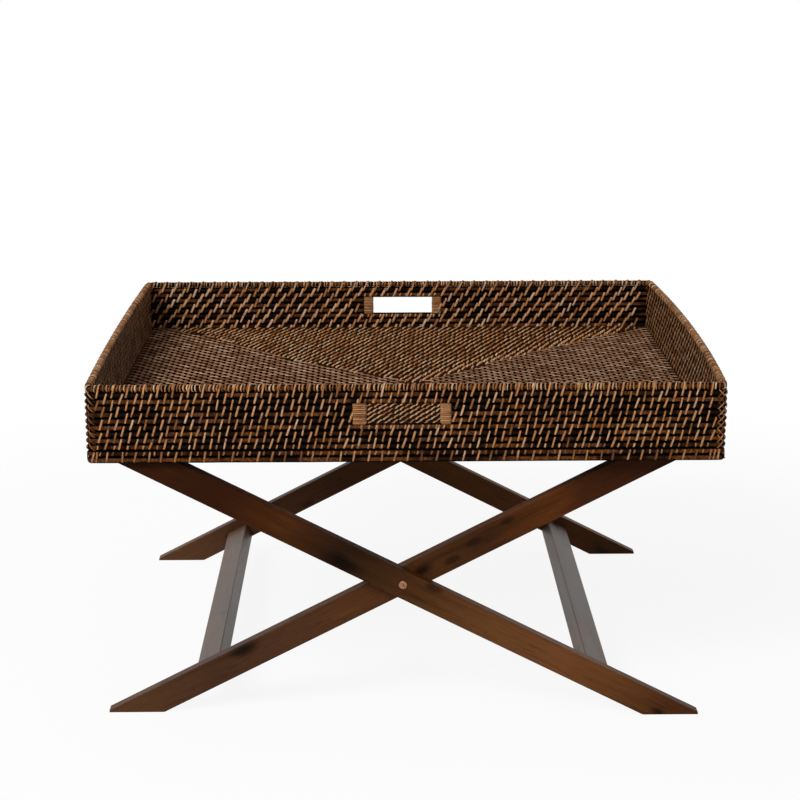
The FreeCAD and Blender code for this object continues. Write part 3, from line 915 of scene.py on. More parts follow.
def rod_tree() -> bpy.types.NodeTree:
    """Build the tree that sweeps a rod along every line, with the sway and swell of real cane.

    Returns:
        The tree, with its inputs Step, Profile, Sway, Swell, Seed and Material.
    """
    tree, bench, given = new_tree("rods_along_lines", {
        "Step": "Float", "Profile": "Object", "Sway": "Float", "Swell": "Float", "Seed": "Float",
        "Material": "Material"})
    put = given.outputs
    curve = bench.out("GeometryNodeMeshToCurve", {0: put["Geometry"]})
    curve = bench.out("GeometryNodeResampleCurve", {0: curve, 3: put["Step"]}, mode="LENGTH")
    shift = bench.place(put["Seed"], put["Seed"], 0.0)
    shifted = bench.vector("ADD", bench.out("GeometryNodeInputPosition"), shift)
    stretched = bench.vector("MULTIPLY", shifted, CANE_STRETCH)
    cloud = bench.add("ShaderNodeTexNoise", {"Vector": stretched, "Scale": CANE_SCALE, "Detail": 2.0}).outputs
    centred = bench.vector("SUBTRACT", cloud[1], (0.5, 0.5, 0.5))
    offset = bench.vector("SCALE", centred, put["Sway"])
    curve = bench.out("GeometryNodeSetPosition", {0: curve, 3: offset})
    radius = bench.math("ADD", bench.times(bench.minus(cloud[0], 0.5), put["Swell"]), 1.0)
    curve = bench.out("GeometryNodeSetCurveRadius", {0: curve, 2: radius})
    curve = bench.out("GeometryNodeSetCurveNormal", {0: curve}, mode="Z_UP")
    profile = bench.add("GeometryNodeObjectInfo", {0: put["Profile"]}).outputs["Geometry"]
    profile = bench.out("GeometryNodeMeshToCurve", {0: profile})
    mesh = bench.out("GeometryNodeCurveToMesh", {0: curve, 1: profile, 2: radius, 3: True})
    end_tree(bench, mesh, put["Material"])
    return tree


def lacing_tree() -> bpy.types.NodeTree:
    """Build the tree that laces a strand along every rail.

    Returns:
        The tree, with its inputs Spacing, Strand, Slip, Lean, Spread, Seed and Material.
    """
    tree, bench, given = new_tree("strands_along_rails", {
        "Spacing": "Float", "Strand": "Object", "Slip": "Float", "Lean": "Float", "Spread": "Float",
        "Seed": "Int", "Material": "Material"})
    put = given.outputs
    curve = bench.out("GeometryNodeMeshToCurve", {0: put["Geometry"]})
    curve = bench.out("GeometryNodeResampleCurve", {0: curve, 3: put["Spacing"]}, mode="LENGTH")
    heading = bench.out("GeometryNodeInputNamedAttribute", {0: "heading"}, data_type="FLOAT_VECTOR")
    lean = bench.out("GeometryNodeInputNamedAttribute", {0: "lean"}, data_type="FLOAT")
    slip, tip = (bench.chance(put["Seed"], extra, bench.times(put[name], -1.0), put[name])
                 for extra, name in ((1, "Slip"), (2, "Lean")))
    curve = bench.out("GeometryNodeSetPosition", {0: curve, 3: bench.vector("SCALE", heading, slip)})
    facing = bench.out("FunctionNodeAlignRotationToVector", {2: heading}, axis="X", pivot_axis="Z")
    for axis, angle in (((1.0, 0.0, 0.0), lean), ((0.0, 1.0, 0.0), tip)):
        turn = bench.out("FunctionNodeAxisAngleToRotation", {0: axis, 1: angle})
        facing = bench.out("FunctionNodeRotateRotation", {0: facing, 1: turn}, rotation_space="LOCAL")
    narrowest, widest = bench.minus(1.0, put["Spread"]), bench.math("ADD", 1.0, put["Spread"])
    wide = bench.chance(put["Seed"], 3, narrowest, widest)
    strand = bench.add("GeometryNodeObjectInfo", {0: put["Strand"]}).outputs["Geometry"]
    laid = bench.out("GeometryNodeInstanceOnPoints",
                     {0: curve, 2: strand, 5: facing, 6: bench.place(wide, 1.0, 1.0)})
    tone = bench.chance(put["Seed"], 4, 0.0, 1.0)
    laid = bench.out("GeometryNodeStoreNamedAttribute", {0: laid, 2: "tone", 3: tone}, data_type="FLOAT",
                     domain="INSTANCE")
    end_tree(bench, laid, put["Material"])
    return tree


@dataclass(frozen=True)
class Lay:
    """How strands lie along their rails.

    Spacing is the distance between them, slip how far one strays along its rail, lean how far it
    tips in degrees, spread how much its width varies, and seed keeps the pieces' strands apart.
    """

    spacing: float
    slip: float
    lean: float
    spread: float
    seed: int

    def on(self, side: Side, extra: int = 0) -> "Lay":
        """The same lay with a seed of its own for a side."""
        return replace(self, seed=self.seed + side.value + extra)


# Keeps the tree's count of strands right where a rail's length is a whole number of spacings.
SPACING_SHARE = 0.999


class Weaver:
    """Lays rods and strands along lines, by way of the geometry trees, and hands back plain meshes."""

    def __init__(self) -> None:
        """Build both trees and start the list of helper objects."""
        self.rods, self.lacing = rod_tree(), lacing_tree()
        self.helpers: list[Thing] = []

    def keep(self, helper: Thing) -> Thing:
        """Remember a helper object, to be removed at the end."""
        self.helpers.append(helper)
        return helper

    def clear(self) -> None:
        """Remove the helper objects."""
        for helper in self.helpers:
            bpy.data.objects.remove(helper)
        self.helpers.clear()

    @staticmethod
    def lines(name: str, lines: Sequence[Line]) -> Thing:
        """Make an object of bare lines.

        Args:
            name: Its name.
            lines: Its lines.

        Returns:
            The object.
        """
        vertices: Line = []
        edges: list[tuple[int, int]] = []
        for points in lines:
            start = len(vertices)
            vertices += points
            edges += [(start + i, start + i + 1) for i in range(len(points) - 1)]
        return mesh_object(name, vertices, edges, [])

    @staticmethod
    def grow(thing: Thing, tree: bpy.types.NodeTree, inputs: dict) -> Thing:
        """Run a tree on an object and keep its result as the object's own mesh.

        Args:
            thing: The object of lines.
            tree: The tree.
            inputs: Names of its inputs and their values.

        Returns:
            The same object, with plain mesh and no modifier.
        """
        modifier = thing.modifiers.new("weave", "NODES")
        modifier.node_group = tree
        for item in tree.interface.items_tree:
            if item.in_out == "INPUT" and item.name in inputs:
                modifier[item.identifier] = inputs[item.name]
        graph = bpy.context.evaluated_depsgraph_get()
        mesh = bpy.data.meshes.new_from_object(thing.evaluated_get(graph), preserve_all_data_layers=True,
                                               depsgraph=graph)
        thing.modifiers.remove(modifier)
        bare = thing.data
        thing.data = mesh
        mesh.name = thing.name
        bpy.data.meshes.remove(bare)
        for label in ("heading", "lean"):
            if label in mesh.attributes:
                mesh.attributes.remove(mesh.attributes[label])
        return thing

    def lay_rods(self, name: str, lines: Sequence[Line], profile: Thing, material: Material,
                 step: float = 0.006, sway: float = 0.0006, swell: float = 0.08, seed: float = 0.0) -> Thing:
        """Sweep a rod along each line.

        Args:
            name: The piece's name.
            lines: The rods' centre lines.
            profile: The rod's section.
            material: Its finish.
            step: Distance between sections.
            sway: How far a rod strays from its line.
            swell: How much its thickness varies.
            seed: Keeps this piece's rods apart from the others'.

        Returns:
            The piece.
        """
        return self.grow(self.lines(name, lines), self.rods, {
            "Step": step, "Profile": profile, "Sway": sway, "Swell": swell, "Seed": seed,
            "Material": material})

    def lace(self, name: str, rails: Sequence[Rail], strand: Thing, material: Material, lay: Lay) -> Thing:
        """Lace a strand along each rail.

        Args:
            name: The piece's name.
            rails: The rails.
            strand: The strand to repeat.
            material: Its finish.
            lay: How the strands lie.

        Returns:
            The piece.
        """
        thing = self.lines(name, [rail.points for rail in rails])
        headings = [c for rail in rails for h in rail.headings for c in h]
        thing.data.attributes.new("heading", "FLOAT_VECTOR", "POINT").data.foreach_set("vector", headings)
        leans = [value for rail in rails for value in rail.leans]
        thing.data.attributes.new("lean", "FLOAT", "POINT").data.foreach_set("value", leans)
        return self.grow(thing, self.lacing, {
            "Spacing": lay.spacing * SPACING_SHARE, "Strand": strand, "Slip": lay.slip,
            "Lean": math.radians(lay.lean), "Spread": lay.spread, "Seed": lay.seed, "Material": material})


def merge(name: str, parts: Sequence[Thing]) -> Thing:
    """Join several objects into one piece.

    Args:
        name: The piece's name.
        parts: The objects, the first of which is kept.

    Returns:
        The piece.
    """
    if len(parts) > 1:
        with bpy.context.temp_override(active_object=parts[0], selected_editable_objects=list(parts)):
            bpy.ops.object.join()
    parts[0].name = parts[0].data.name = name
    return parts[0]


def dress(piece: Thing, slot: str, *nodes: str) -> None:
    """Put a finished piece on the tray.

    Args:
        piece: The piece.
        slot: Not used; the name of its material slot in the record.
        nodes: The nodes that it stands for.
    """
    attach(piece, "tray")
    if nodes:
        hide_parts(*nodes)
    LOG.info("%s: %d faces", piece.name, len(piece.data.polygons))


# The tray


@dataclass
class WallWeave:
    """Rods of the tray's walls and base band, and the strands that lace them together.

    A row of stitches is named after its lower rod. In slits of the back wall, light shows between two rods.
    """

    plan: TrayPlan
    weaver: Weaver
    finishes: dict[str, Material]
    rod_sides: int = 12
    rod_seed_step: float = 10.0
    band_seed: float = 3.0
    margin: float = 0.0105
    post_play: float = 0.0006
    post_margin: float = 0.0022
    tie_end: float = 0.069
    tie_width: float = 0.0031
    back_scale: float = 1.3
    row_shift: float = 0.0120
    row_drift: float = 0.0008
    row_drift_turn: float = 2.4
    wall_lay: Lay = Lay(spacing=0.0210, slip=0.0011, lean=4.0, spread=0.14, seed=11)
    top_seed: int = 4
    tie_lay: Lay = Lay(spacing=0.0210, slip=0.003, lean=9.0, spread=0.2, seed=21)
    slot_lay: Lay = Lay(spacing=0.0105, slip=0.0012, lean=5.0, spread=0.15, seed=31)
    slot_phases: tuple[float, float] = (0.004, 0.011)
    base_lay: Lay = Lay(spacing=0.0193, slip=0.0022, lean=6.0, spread=0.16, seed=41)
    base_inset: float = 0.003
    base_phase: float = 0.006
    end_lay: Lay = Lay(spacing=0.0055, slip=0.0004, lean=6.0, spread=0.16, seed=45)
    end_start: float = 0.0042
    end_run: float = 0.0062
    base_tie_lay: Lay = Lay(spacing=0.0193, slip=0.003, lean=12.0, spread=0.2, seed=51)
    base_tie_phase: float = 0.0155
    slit_rows: tuple[int, int] = (2, 3)
    slits: tuple[tuple[float, float], ...] = ((-0.424, -0.354), (-0.287, -0.173), (0.311, 0.423))
    slit_gap: float = 0.00042
    slit_fade: float = 0.012
    slit_runs: int = 6
    slit_swell: float = 0.12

    def parted(self, line: Line, way: int) -> Line:
        """Move a rod away from its neighbour in the slits, where light shows between them.

        Args:
            line: The rod's centre line.
            way: 1 to move it up, -1 to move it down.

        Returns:
            The centre line, in shorter runs.
        """
        moved = []
        for a, b in zip(line, line[1:]):
            for i in range(self.slit_runs):
                place = a.lerp(b, i / self.slit_runs)
                share = max(min(place.x - low, high - place.x) for low, high in self.slits)
                share = min(1.0, max(0.0, share / self.slit_fade + 0.5))
                moved.append(place + Vector((0, 0, way * self.slit_gap * share)))
        return moved + [line[-1].copy()]

    def rod_lines(self, side: Side, rows: Iterable[int]) -> list[Line]:
        """Follow the rods of several rows, cut where the hand slot is.

        Args:
            side: The side.
            rows: The rows.

        Returns:
            The rods' centre lines.
        """
        lines = []
        low, high = self.plan.slot_rows
        for row in rows:
            points = self.plan.rod_line(side, row)
            if not (side.is_long and low <= row <= high):
                lines.append(points)
                continue
            middle = self.plan.slot_middle(side)
            for end in (-1, 1):
                way = end * side.along.x
                reach = self.plan.slot_half + self.plan.post_width(side, way) - self.post_play
                part = [p for p in points if (p.x - middle) * way > reach]
                cut = Vector((middle + way * reach, part[len(part) // 2].y, part[0].z))
                lines.append(part + [cut] if end < 0 else [cut] + part)
        return lines

    def rail(self, side: Side, row: int, start: float, finish: float, phase: float, lay: Lay) -> list[Rail]:
        """Make the rail of one row of stitches.

        Args:
            side: The side.
            row: The row.
            start: Where the stitches may start, from the side's first corner.
            finish: Where they end.
            phase: Place of one stitch of the row.
            lay: How the stitches lie.

        Returns:
            The rail, or nothing where no stitch has room.
        """
        plan = self.plan
        first = phase + math.ceil((start - phase) / lay.spacing) * lay.spacing
        runs = [first + i * lay.spacing for i in range(int((finish - first) / lay.spacing) + 1)]
        if len(runs) < 2:
            return []
        widening = plan.bow(side, row + 1) - plan.bow(side, row)
        points = [plan.rod_point(side, row, run) for run in runs]
        headings = [(plan.rod_point(side, row, run + 0.001) - point).normalized()
                    for run, point in zip(runs, points)]
        shares = [run / plan.rod_length(side) for run in runs]
        leans = [math.atan(widening * 4 * share * (1 - share) / plan.pitch) for share in shares]
        return [Rail(points, headings, leans)]

    def slot_run(self, side: Side) -> float:
        """Distance from a side's first corner to the middle of its hand slot."""
        plan = self.plan
        return plan.rod_length(side) / 2 + (plan.slot_middle(side) - plan.centre) * side.along.x

    def stretches(self, side: Side, row: int) -> list[tuple[float, float]]:
        """Find where a row of stitches runs, clear of the corners and the hand slot.

        Args:
            side: The side.
            row: The row.

        Returns:
            Start and end of each stretch.
        """
        plan = self.plan
        last = plan.rod_length(side) - self.margin
        low, high = plan.slot_rows
        if not side.is_long or row + 1 < low or row > high:
            return [(self.margin, last)]
        middle = self.slot_run(side)
        before, after = (plan.slot_half + plan.post_width(side, end * side.along.x) + self.post_margin
                         for end in (-1, 1))
        return [(self.margin, middle - before), (middle + after, last)]

    def build_rods(self, side: Side, profile: Thing) -> None:
        """Build one side's rods.

        Args:
            side: The side.
            profile: The rods' section.
        """
        plan, weaver, label = self.plan, self.weaver, side.label
        rod, seed = self.finishes["stained_rod"], self.rod_seed_step * side.value
        parting = self.slit_rows if side is Side.BACK else ()
        rows = [row for row in range(plan.band_rows, plan.rows - 1) if row not in parting]
        parts = [weaver.lay_rods(f"{label}_wall_canes", self.rod_lines(side, rows), profile, rod, seed=seed)]
        if parting:
            lines = [self.parted(plan.rod_line(side, row), way) for row, way in zip(parting, (-1, 1))]
            parts.append(weaver.lay_rods(f"{label}_slit_canes", lines, profile, rod, swell=self.slit_swell,
                                         seed=seed))
        dress(merge(f"{label}_wall_canes", parts), "rattan_rod", f"{label}_wall_rods")
        band = weaver.lay_rods(f"{label}_base_canes", self.rod_lines(side, range(plan.band_rows)), profile,
                               self.finishes["rim_rod"], seed=seed + self.band_seed)
        dress(band, "rattan_rod", f"{label}_base_band")

    def build_lacing(self, side: Side, strands: dict[str, Thing]) -> None:
        """Build one side's stitches above the base band.

        Args:
            side: The side.
            strands: The strands to lace with, by name.
        """
        plan, weaver, label = self.plan, self.weaver, side.label
        is_back, top_row = side is Side.BACK, plan.rows - 2
        tan = self.finishes["pale_strand" if is_back else "tan_strand"]
        full: list[Rail] = []
        top: list[Rail] = []
        for row in range(plan.band_rows, plan.rows - 1):
            drift = self.row_drift * math.sin(row * self.row_drift_turn + side.value)
            for start, finish in self.stretches(side, row):
                found = self.rail(side, row, start, finish, row * self.row_shift + drift, self.wall_lay)
                (full if row < top_row else top).extend(found)
        ties = self.rail(side, plan.band_rows, self.margin, plan.rod_length(side) - self.margin,
                         (plan.band_rows - 1) * self.row_shift, self.tie_lay)
        stitch = strands["back_wall_stitch" if is_back else "wall_stitch"]
        parts = [weaver.lace(f"{label}_wall_lacing", full, stitch, tan, self.wall_lay.on(side)),
                 weaver.lace(f"{label}_top_lacing", top, strands["top_stitch"], tan,
                             self.wall_lay.on(side, self.top_seed)),
                 weaver.lace(f"{label}_ties", ties, strands["tie"], tan, self.tie_lay.on(side))]
        if side.is_long:
            middle = self.slot_run(side)
            edges: list[Rail] = []
            for row, phase in zip((plan.slot_rows[0] - 1, plan.slot_rows[1] + 1), self.slot_phases):
                edges += self.rail(side, row, middle - self.tie_end, middle + self.tie_end, phase,
                                   self.slot_lay)
            parts.append(weaver.lace(f"{label}_slot_ties", edges, strands["tie"], tan,
                                     self.slot_lay.on(side)))
        dress(merge(f"{label}_wall_lacing", parts), "rattan_binding")

    def build_base(self, side: Side, strands: dict[str, Thing]) -> None:
        """Build the stitches of one side's base band.

        Args:
            side: The side.
            strands: The strands to lace with, by name.
        """
        weaver, label, brown = self.weaver, side.label, self.finishes["brown_strand"]
        length, inset = self.plan.rod_length(side), self.margin + self.base_inset
        long_ones = self.rail(side, 0, inset, length - inset, self.base_phase, self.base_lay)
        between = self.rail(side, 1, self.margin, length - self.margin, self.base_tie_phase,
                            self.base_tie_lay)
        ends: list[Rail] = []
        for start in (self.end_start, length - self.end_start - self.end_run):
            ends += self.rail(side, 0, start, start + self.end_run, start, self.end_lay)
        parts = [weaver.lace(f"{label}_{part}", rails, strands[strand], brown, lay.on(side))
                 for part, rails, strand, lay in (("base_lacing", long_ones, "band_stitch", self.base_lay),
                                                  ("base_ends", ends, "band_stitch", self.end_lay),
                                                  ("base_ties", between, "tie", self.base_tie_lay))]
        dress(merge(f"{label}_base_lacing", parts), "rattan_binding")

    def build(self) -> None:
        """Build all four sides."""
        keep, plan = self.weaver.keep, self.plan
        profile = keep(round_section("cane_section", plan.rod_radius, self.rod_sides))
        stitches = {"wall_stitch": Stitch(),
                    "back_wall_stitch": Stitch(inner_scale=self.back_scale),
                    "top_stitch": Stitch(over_rim=True),
                    "band_stitch": Stitch(outer_step=0.004, inner_step=0.008),
                    "tie": Stitch(rods=1, outer_step=0.0032, inner_step=0.004, width=self.tie_width)}
        strands = {name: keep(stitch.build(name, plan)) for name, stitch in stitches.items()}
        for side in Side:
            self.build_rods(side, profile)
            self.build_lacing(side, strands)
            self.build_base(side, strands)


@dataclass
class Rim:
    """Top rod of the walls, whipped closely with strand from corner to corner."""

    plan: TrayPlan
    weaver: Weaver
    finishes: dict[str, Material]
    core_radius: float = 0.0044
    core_sides: int = 10
    core_swell: float = 0.02
    thickness: float = 0.0011
    width: float = 0.0023
    seat_share: float = 0.3
    tilt: float = 0.0012
    turn_runs: int = 12
    lay: Lay = Lay(spacing=0.0052, slip=0.0012, lean=9.0, spread=0.3, seed=61)

    def turn(self) -> Thing:
        """Make one turn of the whipping, which leans along the rod.

        Returns:
            The turn, about its own X.
        """
        radius = self.core_radius + self.seat_share * self.thickness
        path = []
        for i in range(self.turn_runs):
            angle = 2 * math.pi * i / self.turn_runs
            out = Vector((0, math.sin(angle), math.cos(angle)))
            path.append((out * radius + Vector((self.tilt * out.y, 0, 0)), out))
        return ribbon("rim_turn", path, self.width, self.thickness, closed=True)

    def build(self) -> None:
        """Build the rim's core and whipping on all four sides."""
        weaver = self.weaver
        profile = weaver.keep(round_section("rim_section", self.core_radius, self.core_sides))
        turn = weaver.keep(self.turn())
        for side in Side:
            line = self.plan.rod_line(side, self.plan.rows - 1)
            core = weaver.lay_rods(f"{side.label}_rim_core", [line], profile, self.finishes["rim_rod"],
                                   sway=0.0, swell=self.core_swell)
            dress(core, "rattan_rod", f"{side.label}_rim")
            headings = [(after - before).normalized()
                        for before, after in zip([line[0]] + line[:-1], line[1:] + [line[-1]])]
            rail = Rail(line, headings, [0.0] * len(line))
            whipping = weaver.lace(f"{side.label}_rim_whipping", [rail], turn,
                                   self.finishes["whipping_strand"], self.lay.on(side))
            dress(whipping, "rim_rattan")


@dataclass
class SlotBinding:
    """The two bound posts of each hand slot: a core with cut corners, and turns of strand round it."""

    plan: TrayPlan
    weaver: Weaver
    finishes: dict[str, Material]
    turns: int = 10
    turn_runs: int = 20
    roundness: float = 0.45
    play: float = 0.0004
    depth: float = 0.0092
    width: float = 0.0022
    thickness: float = 0.0012
    core_inset: float = 0.0012
    core_half_depth: float = 0.0042
    core_half_flat: float = 0.0034
    core_over: float = 0.001
    core_step: float = 0.03
    lay: Lay = Lay(spacing=0.00282, slip=0.0003, lean=1.8, spread=0.02, seed=71)

    def turn(self, post: float) -> Thing:
        """Make one turn round a post: a rounded oblong ring that lies flat.

        Args:
            post: The post's width.

        Returns:
            The turn, about its own Z.
        """
        half_x, half_y = post / 2 - self.play, self.depth / 2
        path = []
        for i in range(self.turn_runs):
            angle = 2 * math.pi * i / self.turn_runs
            c, s = math.cos(angle), math.sin(angle)
            place = Vector((half_x * math.copysign(abs(c) ** self.roundness, c),
                            half_y * math.copysign(abs(s) ** self.roundness, s), 0))
            path.append((place, Vector((c / half_x, s / half_y, 0)).normalized()))
        return ribbon("post_turn", path, self.width, self.thickness, closed=True)

    def core_section(self, post: float) -> Thing:
        """Make the section of a post's core.

        Args:
            post: The post's width.

        Returns:
            The section.
        """
        half = post / 2 - self.core_inset
        shoulder = half - self.core_inset
        corners = [(half, self.core_half_flat), (shoulder, self.core_half_depth),
                   (-shoulder, self.core_half_depth), (-half, self.core_half_flat)]
        return section("post_section", corners + [(-x, -y) for x, y in corners])

    def build(self) -> None:
        """Build the posts of both slots."""
        plan, weaver, tan = self.plan, self.weaver, self.finishes["post_strand"]
        bottom, top = (plan.height(row) for row in (plan.slot_rows[0] - 0.5, plan.slot_rows[1] + 0.5))
        pitch = (top - bottom) / self.turns
        for side in (Side.FRONT, Side.BACK):
            y = -side.inward.y * (plan.half_width - plan.rod_depth)
            parts = []
            for end in (-1, 1):
                post = plan.post_width(side, end)
                x = plan.slot_middle(side) + end * (plan.slot_half + post / 2)
                core = [Vector((x, y, z)) for z in (bottom - self.core_over, top + self.core_over)]
                parts.append(weaver.lay_rods(f"{side.label}_post_core", [core],
                                             weaver.keep(self.core_section(post)), tan, step=self.core_step,
                                             sway=0.0, swell=0.0))
                points = [Vector((x, y, bottom + pitch * (i + 0.5))) for i in range(self.turns)]
                parts.append(weaver.lace(f"{side.label}_post_wraps", [straight_rail(points, side.along)],
                                         weaver.keep(self.turn(post)), tan,
                                         replace(self.lay.on(side, end), spacing=pitch)))
            dress(merge(f"{side.label}_slot_binding", parts), "rattan_binding", f"{side.label}_slot_bindings")


@dataclass(frozen=True)
class Chevron:
    """Shape of a lashing.

    Low and peak are its angles above the rod's middle at its ends and at the corner, curl says how
    suddenly it turns between them, and reach is how far it goes along each wall.
    """

    low: float
    peak: float
    curl: float
    reach: float


@dataclass
class CornerLashing:
    """Strands that hold the rods together round each corner of the tray."""

    plan: TrayPlan
    weaver: Weaver
    finishes: dict[str, Material]
    arched: Chevron = Chevron(low=-60.0, peak=75.0, curl=1.6, reach=0.0085)
    rising: Chevron = Chevron(low=-60.0, peak=60.0, curl=1.2, reach=0.0070)
    falling: Chevron = Chevron(low=60.0, peak=-60.0, curl=1.2, reach=0.0070)
    runs: int = 14
    width: float = 0.0022
    thickness: float = 0.0011
    seat_share: float = 0.3
    bulge: float = 0.0003
    slip: float = 0.0006
    lean: float = 6.0
    seed: int = 81

    def strand(self, name: str, form: Chevron) -> Thing:
        """Make one lashing: along one wall to the corner and on along the next.

        Args:
            name: Its name.
            form: Its shape.

        Returns:
            The lashing, its own origin at the rods' sharp corner.
        """
        corner = self.plan.corner
        sharp, before, after = Vector((0, 0, 0)), Vector((-corner, 0, 0)), Vector((0, corner, 0))
        path = []
        for i in range(self.runs + 1):
            share = 2 * i / self.runs - 1
            run = share * form.reach
            if abs(run) >= corner:
                centre = Vector((run, 0, 0)) if run < 0 else Vector((0, run, 0))
                out = Vector((0, -1, 0)) if run < 0 else Vector((1, 0, 0))
            else:
                t = 0.5 + run / (2 * corner)
                centre = bend(before, sharp, after, t)
                out = (after * t - before * (1 - t)).cross(Vector((0, 0, 1))).normalized()
            near = 1 - abs(share)
            angle = math.radians(form.low + (form.peak - form.low) * near ** form.curl)
            normal = out * math.cos(angle) + Vector((0, 0, math.sin(angle)))
            radius = self.plan.rod_radius + self.seat_share * self.thickness + self.bulge * near ** 2
            path.append((centre + normal * radius, normal))
        return ribbon(name, path, self.width, self.thickness)

    def build(self) -> None:
        """Build all four corners' lashings, which cross at the two right corners."""
        plan, weaver = self.plan, self.weaver
        arched, rising, falling = (weaver.keep(self.strand(name, form)) for name, form in (
            ("lashing_arched", self.arched), ("lashing_rising", self.rising),
            ("lashing_falling", self.falling)))
        lay = Lay(plan.pitch, self.slip, self.lean, 0.0, self.seed)
        parts = []
        for side in Side:
            crossed = side in (Side.FRONT, Side.RIGHT)
            corners = [plan.point(side, plan.rod_depth, 0.0, plan.height(row), plan.rod_length(side))
                       for row in range(plan.band_rows, plan.rows - 1)]
            rail = straight_rail(corners, side.along)
            for extra, strand in enumerate((rising, falling) if crossed else (arched,)):
                parts.append(weaver.lace(f"{side.label}_corner", [rail], strand,
                                         self.finishes["lashing_strand"], lay.on(side, 4 * extra)))
        dress(merge("corner_lashings", parts), "rattan_binding")


@dataclass(frozen=True)
class FieldPlan:
    """How a field of the floor is woven.

    Pitch is the distance between rods, spacing that between strands, and shift how far the strands
    move from one row to the next.
    """

    pitch: float
    spacing: float
    shift: float


@dataclass
class FloorWeave:
    """Rods on the tray's floor and the strands over them, in four mitred fields that meet off the middle.

    The drifts are slow and quick waves that set each row a little off its place.
    """

    plan: TrayPlan
    weaver: Weaver
    finishes: dict[str, Material]
    heart: tuple[float, float] = (0.019, -0.046)
    left_mitre: tuple[tuple[float, float], ...] = (
        (-0.405, 0.382), (-0.300, 0.275), (-0.258, 0.214), (-0.186, 0.124), (-0.110, 0.064))
    right_mitre: tuple[tuple[float, float], ...] = ((0.231, 0.187), (0.145, 0.097))
    long_field: FieldPlan = FieldPlan(pitch=0.009534, spacing=0.0236, shift=-0.0076)
    side_field: FieldPlan = FieldPlan(pitch=0.0093, spacing=0.0196, shift=-0.0094)
    long_stitch: FloorStitch = FloorStitch(width=0.0032, thickness=0.0010)
    steep_step: float = 0.0040
    steep_reach: float = 0.052
    side_stitch: FloorStitch = FloorStitch(width=0.0034, thickness=0.0006, dip=34.0, sunk_share=0.7)
    left_step: float = 0.0062
    right_step: float = 0.0030
    least_rod: float = 0.004
    play: float = 0.0008
    quick_drift: tuple[float, float] = (0.0005, 1.7)
    slow_drift: tuple[float, float] = (0.0012, 0.31)
    rod_step: float = 0.014
    rod_sway: float = 0.0004
    rod_swell: float = 0.04
    arc_runs: int = 5
    slip: float = 0.0006
    spread: float = 0.12
    seed: int = 91

    def mitre(self, side: Side) -> Line:
        """Follow the mitre from the corner where a side starts to the place where the fields meet.

        Args:
            side: The side.

        Returns:
            The mitre's points.
        """
        plan = self.plan
        between = {Side.LEFT: self.left_mitre, Side.BACK: self.right_mitre}.get(side, ())
        flat = [Vector((x, y, plan.floor_base)) for x, y in (*between, self.heart)]
        return [plan.point(side, plan.floor_edge, 0.0, plan.floor_base, 0.0)] + flat

    @staticmethod
    def crossing(line: Line, inward: Vector, depth: float) -> Vector:
        """Find where a mitre lies a given way into the tray.

        Args:
            line: The mitre, from its corner.
            inward: Direction into the tray.
            depth: Distance from the corner in that direction.

        Returns:
            The place.
        """
        for a, b in zip(line, line[1:]):
            low, high = (a - line[0]).dot(inward), (b - line[0]).dot(inward)
            if depth <= high:
                return a.lerp(b, (depth - low) / (high - low))
        return line[-1]

    def drift(self, row: int, side: Side) -> float:
        """Find how far a row's strands are set off their place.

        Args:
            row: The row, from the wall.
            side: The side that its field meets.

        Returns:
            The distance along the side.
        """
        (quick, quick_turn), (slow, slow_turn) = self.quick_drift, self.slow_drift
        return quick * math.sin(row * quick_turn + side.value) + slow * math.sin(
            row * slow_turn + 2 * side.value)

    def build_field(self, side: Side, woven: FieldPlan, profile: Thing, stitches: Sequence[Thing],
                    rod: Material, strand: Material) -> None:
        """Build one field of the floor, between its two mitres.

        Args:
            side: The side that the field meets.
            woven: How it is woven.
            profile: The rods' section.
            stitches: The strand to lace with, and any steeper one near the field's first mitre.
            rod: The rods' finish.
            strand: The strands' finish.
        """
        weaver, inward, along, spacing = self.weaver, side.inward, side.along, woven.spacing
        mitres = self.mitre(side), self.mitre(side.after)
        middle = (mitres[0][0] + mitres[1][0]) / 2
        depth = (mitres[0][-1] - mitres[0][0]).dot(inward)
        lines, rails, steep = [], [], []
        for row in range(int(depth / woven.pitch)):
            ends = [self.crossing(mitre, inward, (row + 0.5) * woven.pitch) for mitre in mitres]
            if (ends[1] - ends[0]).length > self.least_rod:
                lines.append(ends)
            reach = (row + 1.0) * woven.pitch
            low, high = ((self.crossing(mitre, inward, reach) - middle).dot(along) for mitre in mitres)
            low, high = low + self.play, high - self.play
            phase = ((row + 1) * woven.shift) % spacing + self.drift(row, side)
            first = phase + math.ceil((low - phase) / spacing) * spacing
            base = middle + inward * reach
            points = [base + along * (first + k * spacing) for k in range(int((high - first) / spacing) + 1)]
            near = [point for point in points if (point - base).dot(along) < low + self.steep_reach]
            turn = len(near) if len(stitches) > 1 else 0
            for found, target in ((points[:turn], steep), (points[turn:], rails)):
                if len(found) > 1:
                    target.append(straight_rail(found, along))
        rods = weaver.lay_rods(f"{side.label}_floor_canes", lines, profile, rod, step=self.rod_step,
                               sway=self.rod_sway, swell=self.rod_swell)
        dress(rods, "rattan_rod", f"{side.label}_floor_field")
        parts = [weaver.lace(f"{side.label}_floor_lacing", found, stitch, strand,
                             Lay(spacing / count, self.slip, 0.0, self.spread, self.seed).on(side))
                 for found, stitch, count in zip((rails, steep), stitches, (1, 2))]
        dress(merge(f"{side.label}_floor_lacing", parts), "floor_rattan")

